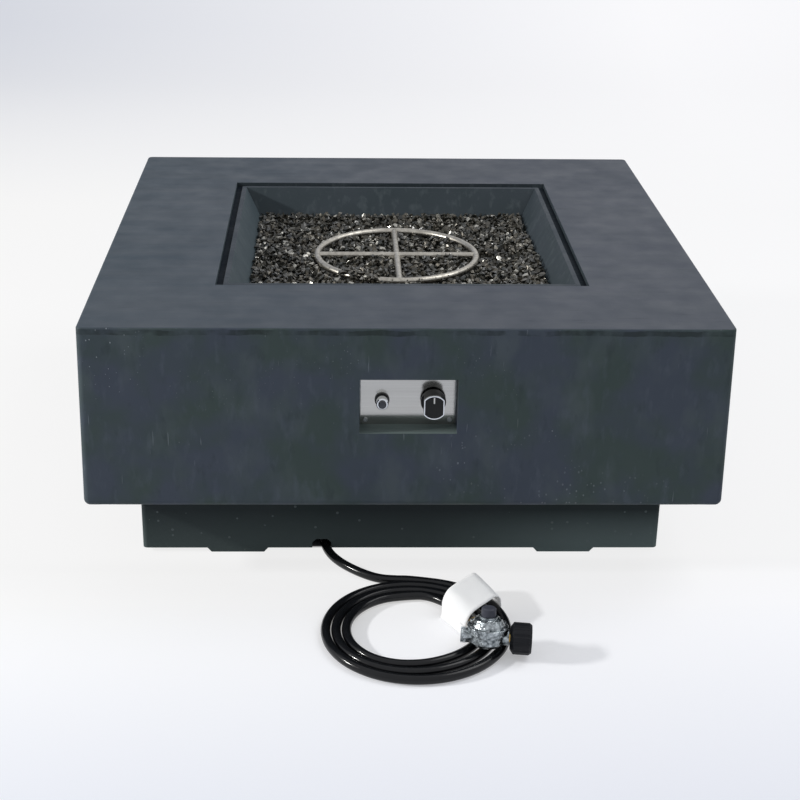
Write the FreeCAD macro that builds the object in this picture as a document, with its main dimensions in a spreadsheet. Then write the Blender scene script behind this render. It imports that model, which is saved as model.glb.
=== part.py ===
import FreeCAD, Part
import math
import os
import re
import Sketcher
from FreeCAD import Placement, Rotation, Vector

# A low square gas fire table, in millimetres: +X right, +Y back, +Z up, seen from its control panel.
# The origin is at the middle of its footprint, on the ground that it stands on.

doc = FreeCAD.newDocument("FireTable")
sheet = doc.addObject("Spreadsheet::Sheet", "Sizes")

# Driving sizes: name, value, meaning.
SIZES = [
    ("top_width", 1016, "side of the square top"),
    ("top_height", 430.8, "top face above the ground"),
    ("block_height", 304.5, "height of the cast block"),
    ("side_lean", 4.9, "how far each side leans out from top to bottom"),
    ("corner_round", 9, "upright corners of the block"),
    ("base_round", 11, "bottom edges of the block"),
    ("rim_round", 3, "top edges of the block"),
    ("apron_wall", 22, "cast wall round the block, at its top"),
    ("wall_pad", 16, "thicker wall round the control opening"),
    ("wall_pad_edge", 8, "that pad round the mounting plate"),
    ("wall_bite", 15, "length of a bolt in the wall"),
    ("deck_thickness", 32, "cast top"),
    ("recess_width", 617.5, "square opening of the fire bowl"),
    ("groove_depth", 9, "groove inside the opening"),
    ("groove_width", 12, "groove inside the opening"),
    ("lip_width", 8, "raised lip between groove and bowl"),
    ("lip_drop", 4, "top of that lip below the deck"),
    ("bowl_depth", 78, "shelf at the foot of the bowl, below the deck"),
    ("bowl_floor_width", 495, "bowl at its shelf"),
    ("bowl_wall", 22, "cast wall round the bowl"),
    ("pan_hole_width", 452, "hole inside the shelf"),
    ("shelf_thickness", 22, "shelf that carries the burner pan"),
    ("cutout_width", 154, "control opening in the front wall"),
    ("cutout_height", 91, "control opening in the front wall"),
    ("cutout_drop", 84.6, "upper edge of the control opening below the top"),
    ("cutout_x", 4, "middle of the control opening"),
    ("plinth_width", 865.6, "side of the square plinth"),
    ("plinth_wall", 30, "cast wall of the plinth"),
    ("plinth_round", 8, "edges of the plinth"),
    ("foot_height", 7.8, "cast lands under the plinth"),
    ("foot_place", 274, "middle of each land from the middle of its side"),
    ("foot_width", 88, "land on the ground"),
    ("foot_slant", 7, "slope at each end of a land"),
    ("notch_x", -133, "middle of the hose notch"),
    ("notch_width", 32, "hose notch"),
    ("notch_height", 24, "hose notch"),
    ("rail_size", 30, "square tube that carries the block on the plinth"),
    ("rail_wall", 2, "its wall"),
    ("bolt_shank", 8, "frame bolts"),
    ("bolt_head", 13, "across the flats of a frame bolt"),
    ("bolt_head_height", 5.3, "frame bolts"),
    ("bolt_bite", 35, "length of a frame bolt in the casting"),
    ("bolt_place", 300, "plinth bolts from the middle of a rail"),
    ("angle_leg", 30, "legs of the steel angles at the rail ends"),
    ("angle_plate", 3, "thickness of those angles"),
    ("pan_metal", 1.5, "sheet of the burner pan"),
    ("pan_depth", 40, "dish of the burner pan"),
    ("pan_side_gap", 1.5, "play of the pan in the bowl"),
    ("drain_hole", 8, "air and drain holes in the pan"),
    ("drain_place", 190, "those holes from the middle"),
    ("ring_outside", 305, "ring burner over its tube"),
    ("burner_tube", 12.7, "tube of the ring"),
    ("burner_tube_wall", 1.2, "wall of that tube"),
    ("cross_tube", 11.6, "tubes of the cross inside the ring"),
    ("burner_drop", 49.5, "middle of the ring below the deck"),
    ("burner_x", 2, "middle of the ring"),
    ("port_hole", 2.4, "flame ports"),
    ("port_lean", 35, "ports above the level, in degrees"),
    ("hub_width", 34, "hub of the burner cross"),
    ("hub_height", 17, "hub of the burner cross"),
    ("hub_roof", 1.5, "top wall of that hub"),
    ("riser_width", 21.3, "pipe that carries the burner"),
    ("riser_bore", 16, "its bore"),
    ("riser_below", 36, "riser below the pan"),
    ("collar_width", 34, "collar and nut that clamp the riser to the pan"),
    ("collar_height", 4, "that collar"),
    ("locknut_height", 8, "that nut"),
    ("mixer_width", 30, "air mixer"),
    ("mixer_height", 44, "air mixer"),
    ("elbow_width", 20, "orifice elbow"),
    ("glass_drop", 54, "fire glass below the deck"),
    ("glass_heap", 5, "fire glass raised along the walls"),
    ("glass_heap_foot", 34, "that heap at its foot"),
    ("glass_heap_slope", 60, "its slope from the upright"),
    ("glass_mound", 5, "mounds of the fire glass"),
    ("glass_mound_foot", 40, "a mound at its foot"),
    ("glass_pitch", 62, "mounds from each other"),
    ("soft_gap", 0.5, "play round the bed of fire glass"),
    ("line_width", 12, "gas line from valve to burner"),
    ("line_nut_length", 16, "its nuts"),
    ("line_nut_flats", 22, "its nuts"),
    ("fit_gap", 0.05, "shaft in hole, on the radius"),
    ("run_gap", 0.3, "open gap between moving pieces"),
    ("panel_setback", 33.4, "control panel behind the edge of the top"),
    ("panel_sheet", 1.5, "sheet of the control panel"),
    ("panel_gap", 2, "panel to the sides of its opening"),
    ("panel_corner", 3, "rounded corners of the panel"),
    ("plate_sheet", 2, "mounting plate behind the wall"),
    ("plate_width", 210, "mounting plate"),
    ("plate_height", 130, "mounting plate"),
    ("plate_edge", 10, "screws from the edges of that plate"),
    ("screw_shank", 5, "plate screws"),
    ("screw_head", 10, "plate screws"),
    ("screw_bite", 25, "plate screws in the casting"),
    ("panel_screw_inset", 8, "panel screws from the edges of the panel"),
    ("panel_screw_head", 7, "panel screws"),
    ("panel_screw_shank", 4, "panel screws"),
    ("control_drop", 132.8, "knob and button below the top"),
    ("knob_x", 44, "axis of the knob"),
    ("button_x", -37, "axis of the push button"),
    ("knob_width", 40, "knob"),
    ("knob_flats", 31.8, "across the two flats of its grip"),
    ("knob_reach", 33, "face of the knob from the panel"),
    ("knob_lift", 5, "foot of the knob from the panel"),
    ("knob_push", 4, "travel of the knob"),
    ("skirt_height", 5, "round skirt of the knob"),
    ("rim_depth", 3, "bright rim round the face of the knob"),
    ("rim_wall", 1.6, "that rim"),
    ("pointer_width", 2.2, "white mark on the knob"),
    ("pointer_length", 10, "white mark on the knob"),
    ("pointer_depth", 0.8, "white mark on the knob"),
    ("stem_width", 8, "valve stem"),
    ("stem_flat", 2.6, "flat of the stem from its axis"),
    ("stem_collar", 12, "thrust collar of the stem"),
    ("neck_width", 14, "threaded neck of the valve"),
    ("neck_reach", 2.4, "neck in front of the panel"),
    ("bonnet_width", 28, "bonnet of the valve"),
    ("bonnet_flange", 3, "flange of the bonnet"),
    ("bonnet_wing", 42, "length of that flange"),
    ("bonnet_depth", 26, "bonnet behind the mounting plate"),
    ("bonnet_roof", 2, "front wall of the bonnet"),
    ("spring_room", 18, "bore for the spring"),
    ("spring_wire", 1.2, "stem spring"),
    ("spring_turns", 4, "stem spring"),
    ("button_spring_wire", 1.2, "button spring"),
    ("button_spring_turns", 5, "button spring"),
    ("valve_width", 32, "valve body"),
    ("valve_depth", 40, "valve body"),
    ("plug_front", 15, "plug at its wide end"),
    ("plug_back", 12, "plug at its narrow end"),
    ("plug_length", 29, "plug"),
    ("tang_width", 2.8, "flat tang of the stem in the plug"),
    ("tang_height", 8, "that tang"),
    ("tang_reach", 12, "depth of that tang in the plug"),
    ("boss_width", 18, "gas bosses of the valve"),
    ("boss_reach", 27, "side bosses from the axis"),
    ("rear_boss", 12, "rear boss behind the body"),
    ("gas_bore", 6, "gas ways"),
    ("magnet_width", 13, "flame safety magnet"),
    ("magnet_length", 22, "flame safety magnet"),
    ("igniter_thread", 18, "threaded barrel of the igniter"),
    ("igniter_barrel", 40, "barrel behind the panel"),
    ("igniter_rear_width", 24, "igniter case"),
    ("igniter_rear", 22, "igniter case behind its barrel"),
    ("igniter_collar", 23.5, "collar on the panel"),
    ("collar_front", 3.5, "height of that collar"),
    ("bezel_width", 19.3, "bright ring round the button"),
    ("bezel_reach", 20, "bright ring from the panel"),
    ("button_width", 12.5, "push button"),
    ("button_reach", 24, "push button from the panel"),
    ("button_travel", 4, "push button"),
    ("button_foot", 8, "push button behind the panel"),
    ("plunger_width", 4, "rod behind the button"),
    ("terminal_width", 5, "terminals of the igniter"),
    ("terminal_length", 8, "terminals of the igniter"),
    ("barrel_nut_flats", 24, "nut on the igniter barrel"),
    ("barrel_nut_height", 6, "nut on the igniter barrel"),
    ("lead_width", 4, "ignition lead"),
    ("probe_place", 88, "flame sensors from the burner's middle, both ways"),
    ("probe_apart", 18, "between the two flame sensors"),
    ("ceramic_width", 8, "insulator of the electrode"),
    ("ceramic_below", 20, "insulator below the pan"),
    ("ceramic_above", 38, "insulator above the pan"),
    ("rod_width", 2.4, "rod of the electrode"),
    ("rod_tip", 71, "tip of the rod above the pan"),
    ("probe_width", 6, "thermocouple"),
    ("probe_lead", 3, "lead of the thermocouple"),
    ("line_swing", 150, "how far the gas line swings out beside the burner"),
    ("lead_dip", 66, "sag of the ignition lead below its terminal"),
    ("probe_dip", 45, "sag of the thermocouple's lead below the magnet"),
    ("hose_loop", 178, "how far the hose loops back behind the valve"),
    ("hose_offset", 5, "hose from the middle of its notch"),
    ("hose_slant", 10, "slant of the hose through its notch"),
    ("hose_width", 15, "outside of the gas hose"),
    ("ferrule_width", 20, "crimped ferrule"),
    ("ferrule_length", 22, "crimped ferrule"),
    ("hose_nut_length", 18, "nut of the hose on the valve"),
    ("hose_nut_flats", 24, "nut of the hose on the valve"),
    ("coil_x", 10, "middle of the coil"),
    ("coil_y", -688, "middle of the coil"),
    ("coil_outside", 147, "first turn, radius to the middle of the hose"),
    ("coil_pitch", 16, "from turn to turn"),
    ("coil_start", 84, "where the coil begins, in degrees from +X"),
    ("coil_end", 95, "where its last turn lets go, in degrees"),
    ("coil_turns", 3, "times that the coil passes its start"),
    ("regulator_x", 117, "middle of the regulator"),
    ("regulator_y", -745, "middle of the regulator"),
    ("regulator_z", 44.6, "middle of the regulator"),
    ("regulator_heading", -6, "direction of its outlet, in degrees from +X"),
    ("regulator_dip", 1, "slope of its outlet, in degrees"),
    ("regulator_lean", -10, "roll about its outlet, in degrees"),
    ("housing_width", 62, "diaphragm housing"),
    ("housing_flange", 5, "each half of its flange"),
    ("housing_bowl", 52, "lower bowl of the housing"),
    ("housing_low", 26, "lower bowl below the middle"),
    ("cover_high", 15, "cover above the middle"),
    ("cover_crown", 26, "top of the cover"),
    ("cap_width", 22, "dark cap on the cover"),
    ("cap_high", 33, "top of the cap above the middle"),
    ("housing_screws", 6, "screws round the flange"),
    ("housing_screw_head", 6, "those screws"),
    ("housing_screw_shank", 3.5, "those screws"),
    ("outlet_width", 24, "outlet boss of the regulator"),
    ("outlet_reach", 32, "outlet boss from the middle"),
    ("inlet_width", 21, "hose boss of the regulator"),
    ("inlet_reach", 34, "hose boss from the middle"),
    ("inlet_angle", 111, "hose boss from the outlet, in degrees"),
    ("inlet_dip", 1, "slope of the hose boss, in degrees"),
    ("gauge_flats", 22, "test plug of the regulator"),
    ("gauge_length", 8, "test plug of the regulator"),
    ("nipple_width", 16, "nipple in the outlet boss"),
    ("nipple_bite", 11, "nipple in the outlet boss"),
    ("nipple_head", 26, "head that holds the nut"),
    ("nut_width", 48, "coupling nut"),
    ("nut_length", 32, "coupling nut"),
    ("nut_gap", 2, "nut to the outlet boss"),
    ("nut_back", 5, "back wall of the nut"),
    ("nut_bore", 33.3, "threaded mouth of the nut"),
    ("nut_grips", 12, "grip flutes round the nut"),
    ("wrap_length", 66, "foam wrap along the hose"),
    ("wrap_width", 97.35, "foam wrap over the hose"),
    ("wrap_height", 48, "foam wrap above the ground"),
    ("wrap_sheet", 2, "foam wrap"),
    ("wrap_corner", 23, "rounding of the wrap"),
    ("wrap_foot_x", 50, "near corner of the wrap"),
    ("wrap_foot_y", -630, "near corner of the wrap"),
    ("wrap_heading", -61, "direction of the wrap, in degrees"),
    ("wrap_slant", 50, "direction of its open ends, in degrees"),
]
for row, (alias, value, meaning) in enumerate(SIZES, 1):
    sheet.set("A%d" % row, str(value))
    sheet.setAlias("A%d" % row, alias)
    sheet.set("B%d" % row, meaning)
doc.recompute()

NAMES = {alias for alias, value, meaning in SIZES}
UP = Rotation()
DOWN = Rotation(Vector(1, 0, 0), 180)
OUT = Rotation(Vector(1, 0, 0), 90)
BACK = Rotation(Vector(1, 0, 0), -90)
RIGHT = Rotation(Vector(0, 1, 0), 90)
LEFT = Rotation(Vector(0, 1, 0), -90)
ORIGIN = ("0", "0", "0")
parts = []


def bound(text):
    """An expression on size names, as the document wants it."""
    return re.sub(r"[a-z_]+", lambda word: "Sizes." + word[0] if word[0] in NAMES else word[0], str(text))


def measure(text):
    """The number that such an expression gives now."""
    result = sheet.evalExpression(bound(text))
    return float(getattr(result, "Value", result))


def tie(item, **sizes):
    """Binds properties of an object to expressions."""
    for name, text in sizes.items():
        item.setExpression(name, bound(text))
    return item


def place(item, at=ORIGIN, turn=UP):
    """Puts an object at a point given as expressions, turned by a fixed rotation."""
    item.Placement = Placement(Vector(), turn)
    for axis, text in zip("xyz", at):
        item.setExpression("Placement.Base." + axis, bound(text))
    return item


def keep(item, name):
    """Marks an object as a piece of the table, under the name of its file."""
    item.Label = name
    parts.append(item)
    return item


# Sketched bodies.


def new_body(name, at=ORIGIN, turn=UP):
    body = doc.addObject("PartDesign::Body", name)
    return place(body, at, turn)


def new_sketch(body, plane, lift):
    sketch = body.newObject("Sketcher::SketchObject", body.Name + "_sketch")
    base = [item for item in body.Origin.OriginFeatures if item.Role == plane + "_Plane"][0]
    sketch.AttachmentSupport = (base, [""])
    sketch.MapMode = "FlatFace"
    sketch.setExpression("AttachmentOffset.Base.z", bound(lift))
    return sketch


def pin(sketch, kind, item, point, text):
    """Holds one point of a sketch at an expression."""
    number = sketch.addConstraint(Sketcher.Constraint(kind, -1, 1, item, point, measure(text)))
    name = "%s_%d" % (kind, number)
    sketch.renameConstraint(number, name)
    sketch.setExpression("Constraints." + name, bound(text))


def polygon(sketch, corners):
    first = sketch.GeometryCount
    spots = [Vector(measure(x), measure(y), 0) for x, y in corners]
    for index, spot in enumerate(spots):
        sketch.addGeometry(Part.LineSegment(spot, spots[(index + 1) % len(spots)]))
    for index, (x, y) in enumerate(corners):
        here = first + index
        following = first + (index + 1) % len(corners)
        sketch.addConstraint(Sketcher.Constraint("Coincident", here, 2, following, 1))
    for index, (x, y) in enumerate(corners):
        pin(sketch, "DistanceX", first + index, 1, x)
        pin(sketch, "DistanceY", first + index, 1, y)


def rectangle(sketch, x0, y0, x1, y1):
    polygon(sketch, [(x0, y0), (x1, y0), (x1, y1), (x0, y1)])


def square(sketch, side):
    half = "(%s) / 2" % side
    rectangle(sketch, "-" + half, "-" + half, half, half)


def circle(sketch, x, y, radius):
    middle = Vector(measure(x), measure(y), 0)
    number = sketch.addGeometry(Part.Circle(middle, Vector(0, 0, 1), measure(radius)))
    pin(sketch, "DistanceX", number, 3, x)
    pin(sketch, "DistanceY", number, 3, y)
    ring = sketch.addConstraint(Sketcher.Constraint("Radius", number, measure(radius)))
    name = "Radius_%d" % ring
    sketch.renameConstraint(ring, name)
    sketch.setExpression("Constraints." + name, bound(radius))


def feature(kind, body, sketch, length, lean=None, flip=False, both=False):
    item = body.newObject("PartDesign::" + kind, body.Name + "_" + kind)
    item.Profile = sketch
    item.Reversed = flip
    item.Midplane = both
    tie(item, Length=length)
    if lean:
        tie(item, TaperAngle=lean)
    doc.recompute([body])
    return item


def pad(body, plane, lift, draw, length, lean=None, flip=False, both=False):
    """Adds a profile to a body, and stops if the body doesn't grow."""
    before = body.Shape.Volume if body.Tip else 0
    sketch = new_sketch(body, plane, lift)
    draw(sketch)
    item = feature("Pad", body, sketch, length, lean, flip, both)
    if body.Shape.Volume < before + 1e-3:
        raise ValueError("the pad on %s adds nothing" % body.Name)
    return item


def pocket(body, plane, lift, draw, length, lean=None, flip=False, both=False):
    """Cuts a profile out of a body, and stops if it met nothing."""
    before = body.Shape.Volume
    sketch = new_sketch(body, plane, lift)
    draw(sketch)
    item = feature("Pocket", body, sketch, length, lean, flip, both)
    if body.Shape.Volume > before - 1e-3:
        raise ValueError("the cut in %s meets nothing" % body.Name)
    return item


def revolve(body, corners):
    """Turns a profile of (radius, height) corners about the body's own Z axis."""
    sketch = new_sketch(body, "XZ", "0")
    polygon(sketch, corners)
    item = body.newObject("PartDesign::Revolution", body.Name + "_turn")
    item.Profile = sketch
    item.ReferenceAxis = (sketch, ["V_Axis"])
    item.Angle = 360
    doc.recompute([body])
    return item


def turned(name, corners, at=ORIGIN, turn=UP):
    body = new_body(name, at, turn)
    revolve(body, corners)
    return body


def fillet(body, radius, choose):
    """Rounds the edges of a body that a test picks out."""
    tip = body.Tip
    edges = ["Edge%d" % (index + 1) for index, edge in enumerate(tip.Shape.Edges) if choose(edge)]
    item = body.newObject("PartDesign::Fillet", body.Name + "_fillet")
    item.Base = (tip, edges)
    tie(item, Radius=radius)
    doc.recompute([body])
    return item


def upright(edge):
    box = edge.BoundBox
    return box.ZLength > 20 * max(box.XLength, box.YLength) or (box.ZLength > 50 and box.XLength < 10)


def level_at(height):
    return lambda edge: abs(edge.BoundBox.ZMin - height) < 0.01 and edge.BoundBox.ZLength < 0.01


# Primitives and booleans.


def cylinder(name, radius, length, at=ORIGIN, turn=UP):
    item = doc.addObject("Part::Cylinder", name)
    tie(item, Radius=radius, Height=length)
    return place(item, at, turn)


def block(name, x, y, z, at=ORIGIN, turn=UP):
    item = doc.addObject("Part::Box", name)
    tie(item, Length=x, Width=y, Height=z)
    return place(item, at, turn)


def hexagon(name, flats, length, at=ORIGIN, turn=UP):
    item = doc.addObject("Part::Prism", name)
    item.Polygon = 6
    tie(item, Circumradius="(%s) / sqrt(3)" % flats, Height=length)
    return place(item, at, turn)


def cut(name, base, tool):
    item = doc.addObject("Part::Cut", name)
    item.Base = base
    item.Tool = tool
    return item


def fuse(name, shapes):
    item = doc.addObject("Part::MultiFuse", name)
    item.Shapes = shapes
    return item


def bundle(name, shapes):
    item = doc.addObject("Part::Compound", name)
    item.Links = shapes
    return item


def group(name, shapes):
    """Identical pieces, each a solid of its own, under one name."""
    return keep(bundle(name, shapes), name)


def shift(at, offset, turn):
    """A point given as expressions, moved along the axes of a rotation of right angles."""
    result = []
    for row in range(3):
        terms = [at[row]]
        for column in range(3):
            way = turn.multVec(Vector(*[float(column == index) for index in range(3)]))[row]
            if abs(way) > 0.5:
                terms.append("%s (%s)" % ("+" if way > 0 else "-", offset[column]))
        result.append(" ".join(terms))
    return tuple(result)


def bolt(name, shank, length, head, head_height, at, turn, flats=True):
    """A bolt whose head stands on the point given, with its shank running the other way."""
    top = hexagon if flats else cylinder
    size = head if flats else "(%s) / 2" % head
    crown = top(name + "_head", size, head_height, at, turn)
    low = shift(at, ("0", "0", "-(%s)" % length), turn)
    rod = cylinder(name + "_shank", "(%s) / 2" % shank, "(%s) + (%s) / 2" % (length, head_height), low, turn)
    return fuse(name, [crown, rod])


# The cast block: leaning sides, hollow below, with the stepped fire bowl in its top.

block_bottom = "(top_height - block_height)"
cavity_width = "(top_width - 2 * apron_wall)"
bowl_top_half = "(recess_width / 2 - groove_width - lip_width)"
bowl_slope = "(%s - bowl_floor_width / 2) / (bowl_depth - lip_drop)" % bowl_top_half
bowl_angle = "atan(%s)" % bowl_slope
shelf_z = "(top_height - bowl_depth)"
control_z = "(top_height - control_drop)"
cutout_foot = "(top_height - cutout_drop - cutout_height)"
panel_y = "-(top_width / 2 - panel_setback)"
wall_out = "(top_width / 2 - apron_wall - wall_pad)"
wall_y = "-" + wall_out
anchor_x = "(plate_width / 2 - plate_edge)"
anchor_z = "(plate_height / 2 - plate_edge)"
plate_middle = "(%s + cutout_height / 2)" % cutout_foot
rail_place = "(plinth_width / 2 - plinth_wall / 2)"
angle_y = "(%s)" % rail_place
angle_hole_z = "(%s + rail_size + angle_leg * 0.6)" % block_bottom
screw_hole = "(screw_shank / 2 + fit_gap)"
bolt_hole = "(bolt_shank / 2 + fit_gap)"


def four_holes(sketch):
    for side in ("-", ""):
        for level in ("-", ""):
            x = "cutout_x + %s%s" % (side, anchor_x)
            circle(sketch, x, "%s + %s%s" % (plate_middle, level, anchor_z), screw_hole)


def angle_holes(sketch):
    for side in ("-", ""):
        circle(sketch, side + angle_y, angle_hole_z, bolt_hole)


def bowl_ring(sketch):
    square(sketch, "recess_width")
    square(sketch, "recess_width - 2 * groove_width")


def cavity_ring(sketch):
    square(sketch, cavity_width)
    square(sketch, "recess_width - 2 * groove_width + bowl_wall - 20")


def control_hole(sketch):
    left = "cutout_x - cutout_width / 2"
    rectangle(sketch, left, cutout_foot, "cutout_x + cutout_width / 2", cutout_foot + " + cutout_height")


def wall_pad(sketch):
    half = "(plate_width / 2 + wall_pad_edge)"
    high = "(plate_height / 2 + wall_pad_edge)"
    rectangle(sketch, "cutout_x - " + half, "%s - %s" % (plate_middle, high), "cutout_x + " + half,
              "%s + %s" % (plate_middle, high))


body = new_body("table_body")
pad(body, "XY", "top_height", lambda s: square(s, "top_width"), "block_height",
    lean="atan(side_lean / block_height)", flip=True)
fillet(body, "corner_round", upright)
fillet(body, "base_round", level_at(measure(block_bottom)))
fillet(body, "rim_round", level_at(measure("top_height")))
bowl_bottom = "(%s - shelf_thickness)" % shelf_z
pocket(body, "XY", block_bottom, lambda s: square(s, cavity_width), "%s - %s" % (bowl_bottom, block_bottom),
       flip=True)
pocket(body, "XY", bowl_bottom, cavity_ring, "top_height - deck_thickness - %s" % bowl_bottom, flip=True)
pocket(body, "XY", "top_height", lambda s: square(s, "recess_width"), "lip_drop")
pocket(body, "XY", "top_height - lip_drop", bowl_ring, "groove_depth - lip_drop")
pocket(body, "XY", "top_height - lip_drop", lambda s: square(s, "2 * " + bowl_top_half),
       "bowl_depth - lip_drop", lean="-" + bowl_angle)
pocket(body, "XY", shelf_z, lambda s: square(s, "pan_hole_width"), "shelf_thickness")
pad(body, "XZ", wall_out + " + wall_pad + 5", wall_pad, "wall_pad + 5", flip=True)
pocket(body, "XZ", "top_width / 2 + side_lean + 4", control_hole, "apron_wall + wall_pad + side_lean + 6")
pocket(body, "XZ", wall_out, four_holes, "screw_bite", flip=True)
pocket(body, "YZ", "%s / 2" % cavity_width, angle_holes, "wall_bite + 1", flip=True)
pocket(body, "YZ", "-%s / 2" % cavity_width, angle_holes, "wall_bite + 1")
keep(body, "table_body")

# The plinth: four cast walls on eight low lands, with a notch for the hose.


def lands(sketch):
    for side in ("-", ""):
        middle = side + "foot_place"
        half = "foot_width / 2"
        polygon(sketch, [
            ("%s - %s" % (middle, half), "0"),
            ("%s + %s" % (middle, half), "0"),
            ("%s + %s + foot_slant" % (middle, half), "foot_height"),
            ("%s - %s - foot_slant" % (middle, half), "foot_height"),
        ])


def notch(sketch):
    side = "notch_width / 2"
    shoulder = "notch_height - notch_width / 5"
    polygon(sketch, [
        ("notch_x - " + side, "0"),
        ("notch_x + " + side, "0"),
        ("notch_x + " + side, shoulder),
        ("notch_x + %s * 0.6" % side, "notch_height"),
        ("notch_x - %s * 0.6" % side, "notch_height"),
        ("notch_x - " + side, shoulder),
    ])


def rail_holes(sketch):
    for side in ("-", ""):
        for way in ("-", ""):
            circle(sketch, side + "bolt_place", way + rail_place, bolt_hole)


body = new_body("plinth")
pad(body, "XY", "foot_height", lambda s: square(s, "plinth_width"), "%s - foot_height" % block_bottom)
fillet(body, "plinth_round", upright)
pad(body, "XZ", "0", lands, "plinth_width", both=True)
pad(body, "YZ", "0", lands, "plinth_width", both=True)
pocket(body, "XY", "0", lambda s: square(s, "plinth_width - 2 * plinth_wall"), block_bottom, flip=True)
pocket(body, "XZ", "plinth_width / 2 + 1", notch, "plinth_wall + 2")
pocket(body, "XY", block_bottom, rail_holes, "bolt_bite + 2")
keep(body, "plinth")

# Four square tubes lie on the plinth and carry the block by steel angles at their ends.


def tube_section(sketch):
    square(sketch, "rail_size")
    square(sketch, "rail_size - 2 * rail_wall")


def rail(name, length, at, turn):
    item = new_body(name, at, turn)
    pad(item, "XY", "0", tube_section, length, both=True)
    return item


rail_z = "(%s + rail_size / 2)" % block_bottom
rail_length = "(%s - 2 * angle_plate)" % cavity_width
long_rails = []
for number, side in enumerate(("-", "")):
    raw = rail("long_rail_%d" % number, rail_length, ("0", side + rail_place, rail_z), RIGHT)
    for drill, x in enumerate(("-bolt_place", "bolt_place")):
        tool = cylinder("rail_drill_%d%d" % (number, drill), bolt_hole, "rail_size + 2",
                        (x, side + rail_place, "%s - 1" % block_bottom))
        raw = cut("rail_%d%d" % (number, drill), raw, tool)
    long_rails.append(raw)
group("long_rails", long_rails)
cross_rails = []
for number, side in enumerate(("-", "")):
    cross_rails.append(rail("cross_rail_%d" % number, "2 * %s - rail_size" % rail_place,
                            (side + rail_place, "0", rail_z), BACK))
group("cross_rails", cross_rails)

angles = []
angle_bolts = []
plinth_bolts = []
for number, (side, way) in enumerate((("-", "-"), ("-", ""), ("", "-"), ("", ""))):
    inner = "%s / 2" % cavity_width
    edge = "%s(%s)" % (side, inner)
    low_x = edge if side else "%s - angle_plate" % edge
    leg_x = edge if side else "%s - angle_leg" % edge
    y0 = "%s%s - angle_leg / 2" % (way, angle_y)
    top = "%s + rail_size" % block_bottom
    plate = block("angle_plate_%d" % number, "angle_plate", "angle_leg", "rail_size + angle_leg",
                  (low_x, y0, block_bottom))
    foot = block("angle_foot_%d" % number, "angle_leg", "angle_leg", "angle_plate", (leg_x, y0, top))
    drill = cylinder("angle_drill_%d" % number, bolt_hole, "4 * angle_plate",
                     ("%s - 2 * angle_plate" % edge, "%s%s" % (way, angle_y), angle_hole_z), RIGHT)
    angles.append(cut("angle_%d" % number, fuse("angle_blank_%d" % number, [plate, foot]), drill))
    head = "%s + angle_plate" % edge if side else "%s - angle_plate" % edge
    inward = RIGHT if side else LEFT
    angle_bolts.append(bolt("angle_bolt_%d" % number, "bolt_shank", "wall_bite + angle_plate", "bolt_head",
                            "bolt_head_height", (head, "%s%s" % (way, angle_y), angle_hole_z), inward))
    x = "bolt_place" if side else "-bolt_place"
    plinth_bolts.append(bolt("plinth_bolt_%d" % number, "bolt_shank", "bolt_bite + rail_size", "bolt_head",
                             "bolt_head_height", (x, way + rail_place, top), UP))
group("rail_angles", angles)
group("angle_bolts", angle_bolts)
group("plinth_bolts", plinth_bolts)

# The burner pan hangs by its flange on the shelf of the bowl.

dish_width = "(pan_hole_width - 2 * pan_side_gap)"
dish_floor = "(%s - pan_depth)" % shelf_z
probe_spots = [
    ("burner_x - probe_place", "-probe_place"),
    ("burner_x - probe_place + probe_apart", "-probe_place - probe_apart / 2"),
]


def drains(sketch):
    for x in ("-drain_place", "0", "drain_place"):
        for y in ("-drain_place", "0", "drain_place"):
            if x != y or x != "0":
                circle(sketch, x, y, "drain_hole / 2")


def pan_holes(sketch):
    circle(sketch, "burner_x", "0", "riser_width / 2 + fit_gap")
    circle(sketch, probe_spots[0][0], probe_spots[0][1], "ceramic_width / 2 + fit_gap")
    circle(sketch, probe_spots[1][0], probe_spots[1][1], "probe_width / 2 + fit_gap")
    drains(sketch)


body = new_body("burner_pan")
pad(body, "XY", shelf_z, lambda s: square(s, "bowl_floor_width - 2 * pan_side_gap"), "pan_metal")
pad(body, "XY", dish_floor, lambda s: square(s, dish_width), "pan_depth")
pocket(body, "XY", "%s + pan_metal" % shelf_z, lambda s: square(s, dish_width + " - 2 * pan_metal"),
       "pan_depth")
pocket(body, "XY", "%s + pan_metal" % dish_floor, pan_holes, "2 * pan_metal")
keep(body, "burner_pan")

# The ring burner: a drilled ring with a cross of the same tube, on a hub.

ring_radius = "(ring_outside / 2 - burner_tube / 2)"
burner_z = "(top_height - burner_drop)"
burner_at = ("burner_x", "0", burner_z)


def ring_frame(name, tube, bar, trim):
    """The ring and its cross as solid bars."""
    ring = doc.addObject("Part::Torus", name + "_ring")
    tie(ring, Radius1=ring_radius, Radius2=tube)
    place(ring, burner_at)
    bars = []
    for axis, turn in (("x", RIGHT), ("y", BACK)):
        start = ("burner_x - %s" % ring_radius if axis == "x" else "burner_x",
                 "0" if axis == "x" else "-%s" % ring_radius, burner_z)
        bars.append(cylinder(name + "_bar_" + axis, bar, "2 * %s" % ring_radius, start, turn))
    return fuse(name, [ring] + bars + trim)


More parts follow.
